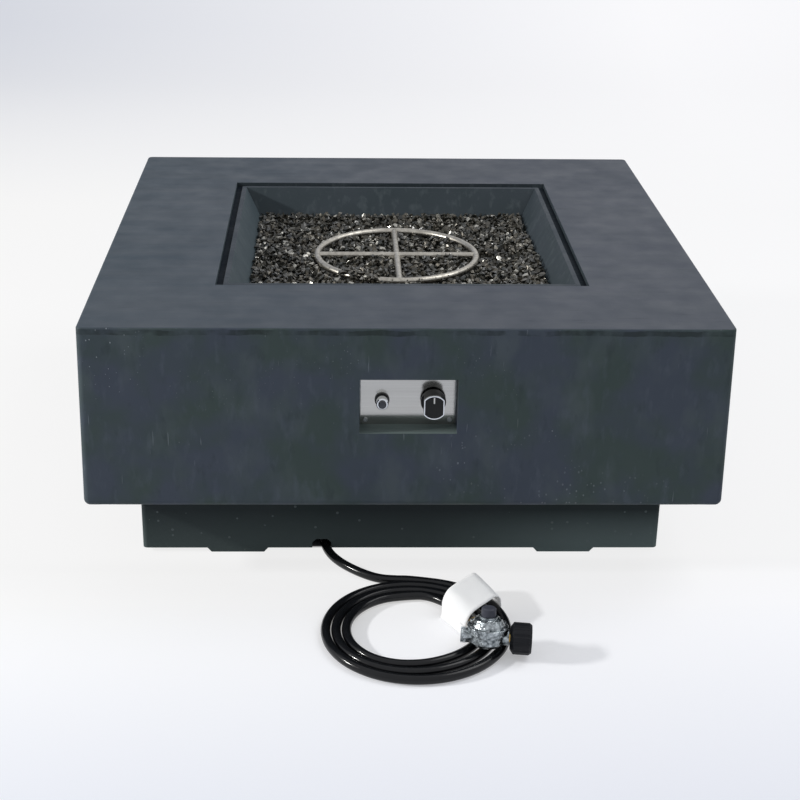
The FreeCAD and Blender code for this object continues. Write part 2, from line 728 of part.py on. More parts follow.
hub = cylinder("burner_hub", "hub_width / 2", "hub_height", ("burner_x", "0", "%s - hub_height" % burner_z))
outer = ring_frame("burner_outer", "burner_tube / 2", "cross_tube / 2", [hub])
hub_bore = cylinder("burner_hub_bore", "riser_width / 2 + fit_gap", "hub_height - hub_roof",
                    ("burner_x", "0", "%s - hub_height" % burner_z))
inner = ring_frame("burner_inner", "burner_tube / 2 - burner_tube_wall",
                   "cross_tube / 2 - burner_tube_wall", [hub_bore])
PORTS = 36
ports = []
for number in range(PORTS):
    angle = (number + 0.5) * 360 / PORTS
    tilt = Rotation(Vector(0, 0, 1), angle) * Rotation(Vector(0, 1, 0), 90 - measure("port_lean"))
    spot = ("burner_x + %s * %.6f" % (ring_radius, math.cos(math.radians(angle))),
            "%s * %.6f" % (ring_radius, math.sin(math.radians(angle))), burner_z)
    ports.append(cylinder("port_%d" % number, "port_hole / 2", "burner_tube", spot, tilt))
keep(cut("ring_burner", cut("burner_drilled", outer, bundle("burner_ports", ports)), inner), "ring_burner")

# Riser, nut, air mixer and orifice elbow hang below the pan in one line.

riser_top = "(%s - hub_roof - cross_tube / 2)" % burner_z
pan_top = "(%s + pan_metal)" % dish_floor
riser_foot = "(%s - riser_below)" % dish_floor
riser = turned("burner_riser", [
    ("riser_bore / 2", riser_foot),
    ("riser_width / 2", riser_foot),
    ("riser_width / 2", pan_top),
    ("collar_width / 2", pan_top),
    ("collar_width / 2", pan_top + " + collar_height"),
    ("riser_width / 2", pan_top + " + collar_height"),
    ("riser_width / 2", riser_top),
    ("riser_bore / 2", riser_top),
], ("burner_x", "0", "0"))
keep(riser, "burner_riser")
nut = hexagon("riser_nut_blank", "collar_width", "locknut_height",
              ("burner_x", "0", dish_floor + " - locknut_height"))
nut_bore = cylinder("riser_nut_bore", "riser_width / 2 + fit_gap", "locknut_height + 2",
                    ("burner_x", "0", dish_floor + " - locknut_height - 1"))
keep(cut("riser_nut", nut, nut_bore), "riser_nut")

mixer_top = "(%s - locknut_height)" % dish_floor
mixer_foot = "(%s - mixer_height)" % mixer_top
mixer = turned("air_mixer", [
    ("gas_bore", mixer_foot),
    ("mixer_width / 2", mixer_foot),
    ("mixer_width / 2", mixer_top),
    ("riser_width / 2 + fit_gap", mixer_top),
    ("riser_width / 2 + fit_gap", riser_foot),
    ("riser_bore / 2", riser_foot),
    ("riser_bore / 2", mixer_foot + " + 4"),
    ("gas_bore", mixer_foot + " + 4"),
], ("burner_x", "0", "0"))
pocket(mixer, "XZ", "0", lambda s: circle(s, "0", "%s + 9" % mixer_foot, "3.5"), "mixer_width + 2", both=True)
pocket(mixer, "YZ", "0", lambda s: circle(s, "0", "%s + 9" % mixer_foot, "3.5"), "mixer_width + 2", both=True)
keep(mixer, "air_mixer")

elbow_z = "(%s - elbow_width / 2 - 4)" % mixer_foot
line_end_y = "(-elbow_width / 2 - 14)"
post = cylinder("elbow_post", "elbow_width / 2", "elbow_width / 2 + 4", ("burner_x", "0", elbow_z))
spigot = cylinder("elbow_spigot", "gas_bore - fit_gap", "elbow_width / 2 + 7", ("burner_x", "0", elbow_z))
knee = doc.addObject("Part::Sphere", "elbow_knee")
tie(knee, Radius="elbow_width / 2")
place(knee, ("burner_x", "0", elbow_z))
arm = cylinder("elbow_arm", "elbow_width / 2", "-" + line_end_y, ("burner_x", "0", elbow_z), OUT)
way_up = cylinder("elbow_way_up", "gas_bore / 3", "elbow_width", ("burner_x", "0", elbow_z))
way_out = cylinder("elbow_way_out", "gas_bore / 2", "1 - " + line_end_y, ("burner_x", "0", elbow_z), OUT)
elbow = fuse("elbow_blank", [post, spigot, knee, arm])
keep(cut("orifice_elbow", elbow, fuse("elbow_ways", [way_up, way_out])), "orifice_elbow")

# The bed of fire glass fills the pan and the foot of the bowl, open round what stands in it.

glass_z = "(top_height - glass_drop)"
bed_foot = "(%s + pan_metal)" % shelf_z
bed = new_body("glass_bed")
pad(bed, "XY", pan_top, lambda s: square(s, dish_width + " - 2 * pan_metal - 2 * soft_gap"),
    "%s - %s" % (bed_foot, pan_top))
bed_width = "bowl_floor_width - 2 * soft_gap + 2 * pan_metal * %s" % bowl_slope
pad(bed, "XY", bed_foot, lambda s: square(s, bed_width), "%s + glass_heap - %s" % (glass_z, bed_foot),
    lean=bowl_angle)
# The crumbs climb the walls, and lie in low mounds between.
heap_half = "(bowl_floor_width / 2 + (bowl_depth - glass_drop) * %s - glass_heap_foot)" % bowl_slope
heap_mouth = "2 * (%s + glass_heap * tan(glass_heap_slope))" % heap_half
pocket(bed, "XY", glass_z + " + glass_heap", lambda s: square(s, heap_mouth), "glass_heap",
       lean="-glass_heap_slope")


def mounds(sketch):
    for row in range(-5, 6, 2):
        for column in range(-5, 6, 2):
            middle = ("%d * glass_pitch / 2" % column, "%d * glass_pitch / 2" % row)
            half = "glass_mound_foot / %s" % ("2" if (row + column) % 4 else "2.6")
            rectangle(sketch, *["%s %s %s" % (at, side, half) for side in "-+" for at in middle])


pad(bed, "XY", glass_z, mounds, "glass_mound", lean="-glass_heap_slope")
riser_room = cylinder("riser_room", "collar_width / 2 + soft_gap", "%s - %s" % (burner_z, pan_top),
                      ("burner_x", "0", pan_top))
ceramic_room = cylinder("ceramic_room", "ceramic_width / 2 + soft_gap", "top_height",
                        (*probe_spots[0], pan_top))
probe_room = cylinder("probe_room", "probe_width / 2 + soft_gap", "top_height", (*probe_spots[1], pan_top))
ring_room = ring_frame("ring_room", "burner_tube / 2 + soft_gap", "cross_tube / 2 + soft_gap",
                       [riser_room, ceramic_room, probe_room])
keep(cut("fire_glass", bed, ring_room), "fire_glass")

# Electrode, insulator and thermocouple stand in the pan beside the ring.

keep(turned("electrode_insulator", [
    ("rod_width / 2 + fit_gap", dish_floor + " - ceramic_below"),
    ("ceramic_width / 2", dish_floor + " - ceramic_below"),
    ("ceramic_width / 2", dish_floor + " + ceramic_above"),
    ("rod_width / 2 + fit_gap", dish_floor + " + ceramic_above"),
], (*probe_spots[0], "0")), "electrode_insulator")
keep(turned("electrode_rod", [
    ("0", dish_floor + " - ceramic_below"),
    ("rod_width / 2", dish_floor + " - ceramic_below"),
    ("rod_width / 2", dish_floor + " + rod_tip"),
    ("0", dish_floor + " + rod_tip + 1"),
], (*probe_spots[0], "0")), "electrode_rod")
keep(turned("thermocouple", [
    ("0", dish_floor + " - ceramic_below"),
    ("probe_width / 2", dish_floor + " - ceramic_below"),
    ("probe_width / 2", dish_floor + " + rod_tip - 4"),
    ("probe_width / 4", dish_floor + " + rod_tip"),
    ("0", dish_floor + " + rod_tip"),
], (*probe_spots[1], "0")), "thermocouple")

# Control panel: a shallow steel tray in the wall's opening, on a plate behind the wall.

panel_width = "(cutout_width - 2 * panel_gap)"
panel_height = "(cutout_height - panel_gap)"
panel_foot = cutout_foot
tray_depth = "(apron_wall + wall_pad - panel_setback)"
panel_at = ("cutout_x", panel_y, "0")
knob_at = ("knob_x", panel_y, control_z)
button_at = ("button_x", panel_y, control_z)
plate_back = "(-%s - plate_sheet)" % tray_depth
neck_hole = "(neck_width / 2 + run_gap)"
barrel_hole = "(igniter_thread / 2 + fit_gap)"
screw_x = "(%s / 2 - panel_screw_inset)" % panel_width
screw_z = "(%s + panel_screw_inset)" % panel_foot


def control_holes(sketch):
    circle(sketch, "knob_x - cutout_x", control_z, neck_hole)
    circle(sketch, "button_x - cutout_x", control_z, barrel_hole)


def panel_screw_holes(sketch):
    for side in ("-", ""):
        circle(sketch, side + screw_x, screw_z, "panel_screw_shank / 2 + fit_gap")


def panel_outline(sketch, inset):
    half = "%s / 2 - %s" % (panel_width, inset)
    rectangle(sketch, "-(%s)" % half, "%s + %s" % (panel_foot, inset), half,
              "%s + %s - %s" % (panel_foot, panel_height, inset))


body = new_body("control_panel", panel_at)
pad(body, "XZ", "0", lambda s: panel_outline(s, "0"), tray_depth, flip=True)
fillet(body, "panel_corner", lambda edge: edge.BoundBox.YLength > measure(tray_depth) - 0.01)
pocket(body, "XZ", "-panel_sheet", lambda s: panel_outline(s, "panel_sheet"), tray_depth)
pocket(body, "XZ", "1", control_holes, "panel_sheet + 2")
pocket(body, "XZ", "1", panel_screw_holes, "panel_sheet + 2")
keep(body, "control_panel")


def plate_outline(sketch):
    rectangle(sketch, "-plate_width / 2", plate_middle + " - plate_height / 2", "plate_width / 2",
              plate_middle + " + plate_height / 2")


def plate_screw_holes(sketch):
    for side in ("-", ""):
        for level in ("-", ""):
            circle(sketch, side + anchor_x, "%s + %s%s" % (plate_middle, level, anchor_z), screw_hole)
        circle(sketch, "knob_x - cutout_x + %s(bonnet_wing / 2 - 5)" % side, control_z,
               "panel_screw_shank / 2 + fit_gap")


body = new_body("mounting_plate", ("cutout_x", wall_y, "0"))
pad(body, "XZ", "0", plate_outline, "plate_sheet", flip=True)
pocket(body, "XZ", "1", control_holes, "plate_sheet + 2")
pocket(body, "XZ", "1", plate_screw_holes, "plate_sheet + 2")
pocket(body, "XZ", "1", panel_screw_holes, "plate_sheet + 2")
keep(body, "mounting_plate")

plate_screws = []
panel_screws = []
bonnet_screws = []
for number, side in enumerate(("-", "")):
    for level in ("-", ""):
        plate_screws.append(bolt(
            "plate_screw_%d%s" % (number, "a" if level else "b"),
            "screw_shank", "screw_bite + plate_sheet - 1", "screw_head", "3",
            ("cutout_x + %s%s" % (side, anchor_x), wall_y + " + plate_sheet",
             "%s + %s%s" % (plate_middle, level, anchor_z)), BACK, flats=False))
    blank = bolt("panel_screw_blank_%d" % number, "panel_screw_shank", tray_depth + " + plate_sheet + 3",
                 "panel_screw_head", "2",
                 ("cutout_x + %s%s" % (side, screw_x), panel_y, screw_z), OUT, flats=False)
    socket = hexagon("panel_screw_socket_%d" % number, "2.5", "2",
                     ("cutout_x + %s%s" % (side, screw_x), panel_y + " - 1", screw_z), OUT)
    panel_screws.append(cut("panel_screw_%d" % number, blank, socket))
    bonnet_screws.append(bolt(
        "bonnet_screw_%d" % number, "panel_screw_shank", "plate_sheet + bonnet_flange + 1",
        "panel_screw_head", "2.4",
        ("knob_x + %s(bonnet_wing / 2 - 5)" % side, wall_y, control_z), OUT, flats=False))
group("plate_screws", plate_screws)
group("panel_screws", panel_screws)
group("bonnet_screws", bonnet_screws)

# Gas valve, on the knob's axis. Along that axis, heights count outwards from the panel's face.

bonnet_back = "(%s - bonnet_depth)" % plate_back
room_top = "(%s - bonnet_roof)" % plate_back
stem_hole = "(stem_width / 2 + fit_gap)"
bonnet = turned("valve_bonnet", [
    (stem_hole, room_top),
    (stem_hole, "neck_reach"),
    ("neck_width / 2", "neck_reach"),
    ("neck_width / 2", plate_back),
    ("bonnet_width / 2", plate_back),
    ("bonnet_width / 2", bonnet_back),
    ("spring_room / 2", bonnet_back),
    ("spring_room / 2", room_top),
], knob_at, OUT)
wing = "bonnet_wing / 2"
pad(bonnet, "XY", plate_back, lambda s: (
    rectangle(s, "-" + wing, "-7", wing, "7"),
    circle(s, "0", "0", "neck_width / 2 - 1"),
), "bonnet_flange", flip=True)
pocket(bonnet, "XY", plate_back, lambda s: [
    circle(s, side + "(bonnet_wing / 2 - 5)", "0", "panel_screw_shank / 2 + fit_gap") for side in ("-", "")],
    "bonnet_flange + 1")
pocket(bonnet, "XY", room_top, lambda s: circle(s, "0", "0", "spring_room / 2"),
       "bonnet_depth - bonnet_roof - 0.001")
keep(bonnet, "valve_bonnet")

valve_back = "(%s - valve_depth)" % bonnet_back
plug_top = "(%s - 1)" % bonnet_back
plug_foot = "(%s - plug_length)" % plug_top
valve = turned("valve_body", [
    ("gas_bore / 2", valve_back + " - rear_boss"),
    ("boss_width / 2", valve_back + " - rear_boss"),
    ("boss_width / 2", valve_back),
    ("valve_width / 2", valve_back),
    ("valve_width / 2", bonnet_back),
    ("plug_front / 2 + fit_gap", bonnet_back),
    ("plug_front / 2 + fit_gap", plug_top),
    ("plug_back / 2 + fit_gap", plug_foot),
    ("plug_back / 2 + fit_gap", plug_foot + " - 1"),
    ("gas_bore / 2", plug_foot + " - 1"),
], knob_at, OUT)
boss_z = "(%s + boss_width / 2 + 2.2)" % valve_back


# One boss leads the gas out to the right, the other looks down and takes the magnet.
for plane in ("YZ", "XZ"):
    pad(valve, plane, "valve_width / 2 - 3", lambda s: circle(s, "0", boss_z, "boss_width / 2"),
        "boss_reach - valve_width / 2 + 3")
    pocket(valve, plane, "boss_reach", lambda s: circle(s, "0", boss_z, "gas_bore / 2"),
           "boss_reach - plug_back / 2 + 1.5")
keep(valve, "valve_body")

slot_depth = "(tang_reach + 2)"
plug = turned("valve_plug", [
    ("0", plug_foot),
    ("plug_back / 2", plug_foot),
    ("plug_front / 2", plug_top),
    ("0", plug_top),
], knob_at, OUT)
pocket(plug, "XY", plug_top, lambda s: rectangle(
    s, "-tang_width / 2 - fit_gap", "-tang_height / 2 - fit_gap", "tang_width / 2 + fit_gap",
    "tang_height / 2 + fit_gap"), slot_depth + " + knob_push")
pocket(plug, "YZ", "0", lambda s: circle(s, "0", plug_foot + " + 4", "gas_bore / 3"), "plug_front", flip=True)
keep(plug, "valve_plug")

collar_top = "(%s - run_gap)" % room_top
collar_foot = "(%s - 1.5)" % collar_top
stem_front = "(knob_reach - rim_depth - 3)"
stem_tail = "(%s + knob_push + run_gap)" % plug_top
stem = turned("valve_stem", [
    ("0", stem_tail),
    ("stem_width / 2", stem_tail),
    ("stem_width / 2", collar_foot),
    ("stem_collar / 2", collar_foot),
    ("stem_collar / 2", collar_top),
    ("stem_width / 2", collar_top),
    ("stem_width / 2", stem_front),
    ("0", stem_front),
], knob_at, OUT)
pad(stem, "XY", stem_tail + " + 2", lambda s: rectangle(
    s, "-tang_width / 2", "-tang_height / 2 + 0.6", "tang_width / 2", "tang_height / 2 - 0.6"),
    "tang_reach + 2 + knob_push + run_gap", flip=True)
pocket(stem, "XY", stem_front, lambda s: rectangle(s, "-stem_width", "stem_flat", "stem_width", "stem_width"),
       "%s - knob_lift - knob_push - 4" % stem_front)
keep(stem, "valve_stem")

washer_foot = "(%s - 1.2)" % collar_foot
keep(turned("stem_washer", [
    (stem_hole, washer_foot),
    ("spring_room / 2 - run_gap", washer_foot),
    ("spring_room / 2 - run_gap", collar_foot),
    (stem_hole, collar_foot),
], knob_at, OUT), "stem_washer")


def coil_spring(name, radius, wire, turns, low, high, at, turn):
    """A wound spring between two heights on an axis, one unbroken wire."""
    rise = high - low - wire
    helix = Part.makeHelix(rise / turns, rise, radius)
    ring = Part.Wire(Part.makeCircle(wire / 2, Vector(radius, 0, 0), Vector(0, 1, 0)))
    item = doc.addObject("Part::Feature", name)
    item.Shape = Part.Wire(helix.Edges).makePipeShell([ring], True, True)
    foot = Placement(Vector(0, 0, low + wire / 2), Rotation())
    item.Placement = Placement(Vector(*[measure(text) for text in at]), turn) * foot
    return keep(item, name)


coil_spring("stem_spring", measure("spring_room / 2 - 2 * run_gap - spring_wire / 2"), measure("spring_wire"),
            measure("spring_turns"), measure(bonnet_back), measure(washer_foot), knob_at, OUT)

# The knob: dark grip with a round skirt, a bright rim round its face and a white mark.

grip_foot = "(knob_lift + skirt_height)"
grip_top = "(knob_reach)"


def grip(sketch, inset):
    """A circle with two flats, as its own closed outline of arcs and lines."""
    radius = measure("knob_width / 2 - (%s)" % inset)
    flat = measure("knob_flats / 2 - (%s)" % inset)
    rise = math.sqrt(radius ** 2 - flat ** 2)
    corner = math.asin(rise / radius)
    top = Part.ArcOfCircle(Part.Circle(Vector(), Vector(0, 0, 1), radius), corner, math.pi - corner)
    foot = Part.ArcOfCircle(Part.Circle(Vector(), Vector(0, 0, 1), radius), math.pi + corner, -corner)
    left = Part.LineSegment(Vector(-flat, rise, 0), Vector(-flat, -rise, 0))
    right = Part.LineSegment(Vector(flat, -rise, 0), Vector(flat, rise, 0))
    first = sketch.GeometryCount
    sketch.addGeometry([top, left, foot, right])
    for step in range(4):
        sketch.addConstraint(Sketcher.Constraint(
            "Coincident", first + step, 2, first + (step + 1) % 4, 1))
    pin(sketch, "DistanceX", first + 1, 1, "-(knob_flats / 2 - (%s))" % inset)
    pin(sketch, "DistanceX", first + 3, 1, "knob_flats / 2 - (%s)" % inset)
    for arc in (0, 2):
        number = sketch.addConstraint(Sketcher.Constraint("Radius", first + arc, radius))
        sketch.renameConstraint(number, "grip_%d" % number)
        sketch.setExpression("Constraints.grip_%d" % number, bound("knob_width / 2 - (%s)" % inset))
        pin(sketch, "DistanceX", first + arc, 3, "0")
        pin(sketch, "DistanceY", first + arc, 3, "0")


knob = new_body("knob", knob_at, OUT)
pad(knob, "XY", "knob_lift", lambda s: circle(s, "0", "0", "knob_width / 2"), "skirt_height")
pad(knob, "XY", grip_foot, lambda s: grip(s, "0"), "%s - rim_depth - %s" % (grip_top, grip_foot))
pad(knob, "XY", "%s - rim_depth" % grip_top, lambda s: grip(s, "rim_wall + fit_gap"), "rim_depth - 0.4")
pocket(knob, "XY", "knob_lift", lambda s: (
    circle(s, "0", "0", "knob_width / 2 - 5"),
    circle(s, "0", "0", "neck_width / 2"),
), "%s - knob_lift" % grip_foot, flip=True)
pocket(knob, "XY", "knob_lift", lambda s: circle(s, "0", "0", stem_hole), "%s + 0.2 - knob_lift" % stem_front,
       flip=True)
pad(knob, "XY", "%s - 12" % stem_front,
    lambda s: rectangle(s, "-3", "stem_flat + fit_gap", "3", "stem_width / 2 + 1"), "12")
pocket(knob, "XY", "knob_lift", lambda s: circle(s, "0", "0", "neck_width / 2 + 0.1"),
       "neck_reach + knob_push + run_gap - knob_lift + 0.3", flip=True)
pocket(knob, "XY", "%s - 0.4" % grip_top, lambda s: rectangle(
    s, "-pointer_width / 2 - fit_gap", "knob_width / 2 - rim_wall - 1.5 - pointer_length - fit_gap",
    "pointer_width / 2 + fit_gap", "knob_width / 2 - rim_wall - 1.5 + fit_gap"), "pointer_depth")
keep(knob, "knob")
rim = new_body("knob_rim", knob_at, OUT)
pad(rim, "XY", "%s - rim_depth" % grip_top, lambda s: (grip(s, "0"), grip(s, "rim_wall")), "rim_depth")
keep(rim, "knob_rim")
keep(block("knob_pointer", "pointer_width", "pointer_length", "pointer_depth", (
    "knob_x - pointer_width / 2", "%s - %s + 0.4 + pointer_depth" % (panel_y, grip_top),
    control_z + " + knob_width / 2 - rim_wall - 1.5 - pointer_length"), OUT), "knob_pointer")

# Push-button igniter, on its own axis.

barrel_foot = "-igniter_barrel"
case_foot = "(-igniter_barrel - igniter_rear)"
button_bore = "(button_width / 2 + run_gap)"
bore_foot = "(-button_foot - button_travel - 14)"
case = turned("igniter_body", [
    ("0", case_foot),
    ("igniter_rear_width / 2", case_foot),
    ("igniter_rear_width / 2", barrel_foot),
    ("igniter_thread / 2", barrel_foot),
    ("igniter_thread / 2", "collar_front"),
    (button_bore, "collar_front"),
    (button_bore, bore_foot),
    ("plunger_width / 2 + run_gap", bore_foot),
    ("plunger_width / 2 + run_gap", bore_foot + " - button_travel - 6"),
    ("0", bore_foot + " - button_travel - 6"),
], button_at, OUT)
pad(case, "XY", case_foot, lambda s: circle(s, "-6", "0", "terminal_width / 2"), "terminal_length", flip=True)
keep(case, "igniter_body")
keep(turned("igniter_collar", [
    ("igniter_thread / 2 + fit_gap", "0"),
    ("igniter_collar / 2", "0"),
    ("igniter_collar / 2", "collar_front - 0.8"),
    ("igniter_collar / 2 - 0.8", "collar_front"),
    ("igniter_thread / 2 + fit_gap", "collar_front"),
], button_at, OUT), "igniter_ring")
keep(turned("igniter_bezel", [
    (button_bore, "collar_front"),
    ("bezel_width / 2 - 1.5", "collar_front"),
    ("bezel_width / 2", "collar_front + 2"),
    ("bezel_width / 2", "bezel_reach - 1.2"),
    ("bezel_width / 2 - 1.2", "bezel_reach"),
    (button_bore, "bezel_reach"),
], button_at, OUT), "igniter_bezel")
keep(turned("igniter_button", [
    ("0", "%s - 5" % bore_foot),
    ("plunger_width / 2", "%s - 5" % bore_foot),
    ("plunger_width / 2", "-button_foot"),
    ("button_width / 2", "-button_foot"),
    ("button_width / 2", "button_reach - 1"),
    ("button_width / 2 - 1", "button_reach"),
    ("0", "button_reach"),
], button_at, OUT), "igniter_button")
coil_spring("igniter_spring", measure("button_width / 2 - button_spring_wire"), measure("button_spring_wire"),
            measure("button_spring_turns"), measure(bore_foot), measure("-button_foot"), button_at, OUT)
nut_at = shift(button_at, ("0", "0", plate_back + " - barrel_nut_height"), OUT)
keep(cut("igniter_nut",
         hexagon("barrel_nut", "barrel_nut_flats", "barrel_nut_height", nut_at, OUT),
         cylinder("barrel_nut_bore", barrel_hole, "barrel_nut_height", nut_at, OUT)), "igniter_nut")

# Hoses, lines and leads: straight runs joined by tangent arcs.


def tube(name, points, width, note=True):
    """A tube along chosen points. Each arc is as large as its two runs allow."""
    spots = [Vector(*point) for point in points]
    edges = []
    radii = []
    last = spots[0]
    for before, here, after in zip(spots, spots[1:], spots[2:]):
        come = (here - before).normalize()
        leave = (after - here).normalize()
        turn = come.getAngle(leave)
        reach = 0.45 * min((here - before).Length, (after - here).Length)
        radii.append(reach / math.tan(turn / 2))
        start = here - come * reach
        end = here + leave * reach
        inward = (leave - come).normalize()
        middle = here + inward * (radii[-1] * (1 / math.cos(turn / 2) - 1))
        edges.append(Part.LineSegment(last, start).toShape())
        edges.append(Part.Arc(start, middle, end).toShape())
        last = end
    edges.append(Part.LineSegment(last, spots[-1]).toShape())
    path = Part.Wire(edges)
    first = (spots[1] - spots[0]).normalize()
    ring = Part.Wire(Part.makeCircle(width / 2, spots[0], first))
    solid = path.makePipeShell([ring], True, False)
    if note:
        share = solid.Volume / (math.pi * width ** 2 / 4 * path.Length)
        print("%s: length %.0f, least radius %.1f, volume share %.5f" % (
            name, path.Length, min(radii), share))
    item = doc.addObject("Part::Feature", name)
    item.Shape = solid
    return keep(item, name)


def ring_nut(name, flats, length, bore, at, turn):
    blank = hexagon(name + "_blank", flats, length, at, turn)
    hole = cylinder(name + "_hole", bore, length, at, turn)
    return cut(name, blank, hole)


hose_radius = measure("hose_width / 2")
inlet_y = measure("%s - (%s) + rear_boss" % (panel_y, valve_back))
inlet = (measure("knob_x"), inlet_y, measure(control_z))
inlet_at = ("knob_x", "%s - (%s) + rear_boss" % (panel_y, valve_back), control_z)
hose_hole = "(hose_width / 2 + fit_gap)"
keep(ring_nut("hose_nut", "hose_nut_flats", "hose_nut_length", "gas_bore / 2", inlet_at, BACK), "hose_nut")
ferrule_at = shift(inlet_at, ("0", "0", "hose_nut_length"), BACK)
keep(cut(
    "hose_ferrule",
    cylinder("hose_ferrule_out", "ferrule_width / 2", "ferrule_length", ferrule_at, BACK),
    cylinder("hose_ferrule_in", hose_hole, "ferrule_length", ferrule_at, BACK),
), "hose_ferrule")
hose_y = inlet_y + measure("hose_nut_length")
gate_y = -measure("plinth_width / 2 - plinth_wall / 2")
gate_x = measure("notch_x + hose_offset")


def way_points(start, end, shares, swing=(None, None, None)):
    """Chosen points of a route. Each share counts from the start towards the end, or along a named reach."""
    points = []
    for row in shares:
        point = []
        for axis in range(3):
            span = end[axis] - start[axis] if swing[axis] is None else swing[axis]
            point.append(start[axis] + row[axis] * span)
        points.append(tuple(point))
    return points


behind_valve = (inlet[0], hose_y, inlet[2])
gate = (gate_x, gate_y, hose_radius)
slant = math.radians(measure("hose_slant"))


def along_gate(distance):
    """A point on the hose's straight line through the notch."""
    return (gate[0] + distance * math.sin(slant), gate[1] - distance * math.cos(slant), gate[2])


tube("hose_inside", [behind_valve] + way_points(behind_valve, gate, [
    (0, 0.303, 0),
    (0.035, 0.618, 0.083),
    (0.128, 0.843, 0.255),
    (0.267, 0.966, 0.468),
    (0.453, 1, 0.689),
    (0.663, 0.933, 0.874),
    (0.872, 0.708, 0.985),
    (1.03, 0.382, 1),
], (None, measure("hose_loop"), None)) + [along_gate(-54), gate], measure("hose_width"))

line_start = (measure("knob_x + boss_reach"), measure("%s - (%s)" % (panel_y, boss_z)), measure(control_z))
line_at = ("knob_x + boss_reach", "%s - (%s)" % (panel_y, boss_z), control_z)
line_end = (measure("burner_x"), measure(line_end_y), measure(elbow_z))
burner_side = (measure("burner_x"), line_start[1], line_start[2])
tube("burner_line", [line_start] + way_points(burner_side, line_end, [
    (0.68, 0, 0),
    (0.92, 0.04, 0.02),
    (1.013, 0.157, 0.06),
    (0.987, 0.311, 0.156),
    (0.827, 0.455, 0.33),
    (0.587, 0.579, 0.527),
    (0.32, 0.687, 0.703),
    (0.08, 0.795, 0.84),
    (0, 0.902, 1),
], (measure("line_swing"), None, None)) + [line_end], measure("line_width"))
line_hole = "(line_width / 2 + fit_gap)"
line_nuts = [
    ring_nut("line_nut_valve", "line_nut_flats", "line_nut_length", line_hole, line_at, RIGHT),
    ring_nut("line_nut_burner", "line_nut_flats", "line_nut_length", line_hole,
             ("burner_x", line_end_y, elbow_z), OUT),
]
group("line_nuts", line_nuts)

magnet_at = ("knob_x", "%s - (%s)" % (panel_y, boss_z), control_z + " - boss_reach")
magnet_foot = measure(control_z + " - boss_reach - magnet_length")
keep(hexagon("safety_magnet", "magnet_width", "magnet_length", magnet_at, DOWN), "safety_magnet")

case_y = measure("%s + igniter_barrel + igniter_rear + terminal_length" % panel_y)
insulator_foot = measure(dish_floor + " - ceramic_below")
electrode = [measure(text) for text in probe_spots[0]]
sensor = [measure(text) for text in probe_spots[1]]
terminal = (measure("button_x") - 6, case_y, measure(control_z))
electrode_foot = (electrode[0], electrode[1], insulator_foot)
tube("ignition_lead", [terminal] + way_points(terminal, electrode_foot, [
    (0, 0.07, 0),
    (0.07, 0.188, -0.12),
    (0.21, 0.33, -0.45),
    (0.4, 0.488, -0.79),
    (0.58, 0.646, -0.97),
    (0.79, 0.804, -1),
    (0.98, 0.937, -0.88),
    (1, 1, -0.515),
], (None, None, measure("lead_dip"))) + [electrode_foot], measure("lead_width"))
magnet_end = (measure("knob_x"), line_start[1], magnet_foot)
sensor_foot = (sensor[0], sensor[1], insulator_foot)
tube("thermocouple_lead", [magnet_end] + way_points(magnet_end, sensor_foot, [
    (0, 0, -0.378),
    (0.036, 0.042, -0.778),
    (0.143, 0.162, -0.956),
    (0.321, 0.307, -1),
    (0.518, 0.459, -0.956),
    (0.696, 0.617, -0.822),
    (0.839, 0.769, -0.6),
    (0.946, 0.902, -0.289),
    (1, 1, 0.289),
], (None, None, measure("probe_dip"))) + [sensor_foot], measure("probe_lead"))

# The regulator lies on the coil. It has its own frame: X along its outlet, Z through its housing.

regulator_turn = Rotation(measure("regulator_heading"), measure("regulator_dip"), measure("regulator_lean"))
regulator_at = ("regulator_x", "regulator_y", "regulator_z")
inlet_slope = Rotation(Vector(0, 1, 0), measure("inlet_dip") + 90)
inlet_turn = Rotation(Vector(0, 0, 1), measure("inlet_angle")) * inlet_slope
flange_screw = "(housing_width / 2 - housing_screw_head / 2 - 0.5)"


def screw_circle(sketch, radius):
    count = int(measure("housing_screws"))
    for number in range(count):
        angle = 2 * math.pi * (number + 0.5) / count
        circle(sketch, "%s * %.6f" % (flange_screw, math.cos(angle)),
               "%s * %.6f" % (flange_screw, math.sin(angle)), radius)


housing = turned("regulator_housing", [
    ("0", "-housing_low"),
    ("housing_bowl / 2 - 6", "-housing_low"),
    ("housing_bowl / 2", "-housing_low + 6"),
    ("housing_bowl / 2", "-housing_flange"),
    ("housing_width / 2", "-housing_flange"),
    ("housing_width / 2", "0"),
    ("0", "0"),
], ORIGIN)
outlet_low = "-(outlet_width / 2 + 1.2)"
pad(housing, "YZ", "0", lambda s: circle(s, "0", outlet_low, "outlet_width / 2"), "outlet_reach")
pad(housing, "YZ", "0", lambda s: circle(s, "0", outlet_low, "gauge_flats / 2"), "outlet_reach", flip=True)
pocket(housing, "YZ", "outlet_reach", lambda s: circle(s, "0", outlet_low, "nipple_width / 2 + fit_gap"),
       "nipple_bite")
pocket(housing, "XY", "0", lambda s: screw_circle(s, "housing_screw_shank / 2 + fit_gap"),
       "housing_flange + 1")
boss = cylinder("inlet_boss", "inlet_width / 2", "inlet_reach", ("0", "0", outlet_low), inlet_turn)
casting = fuse("regulator_casting", [housing, boss])
place(casting, regulator_at, regulator_turn)
keep(casting, "regulator_body")

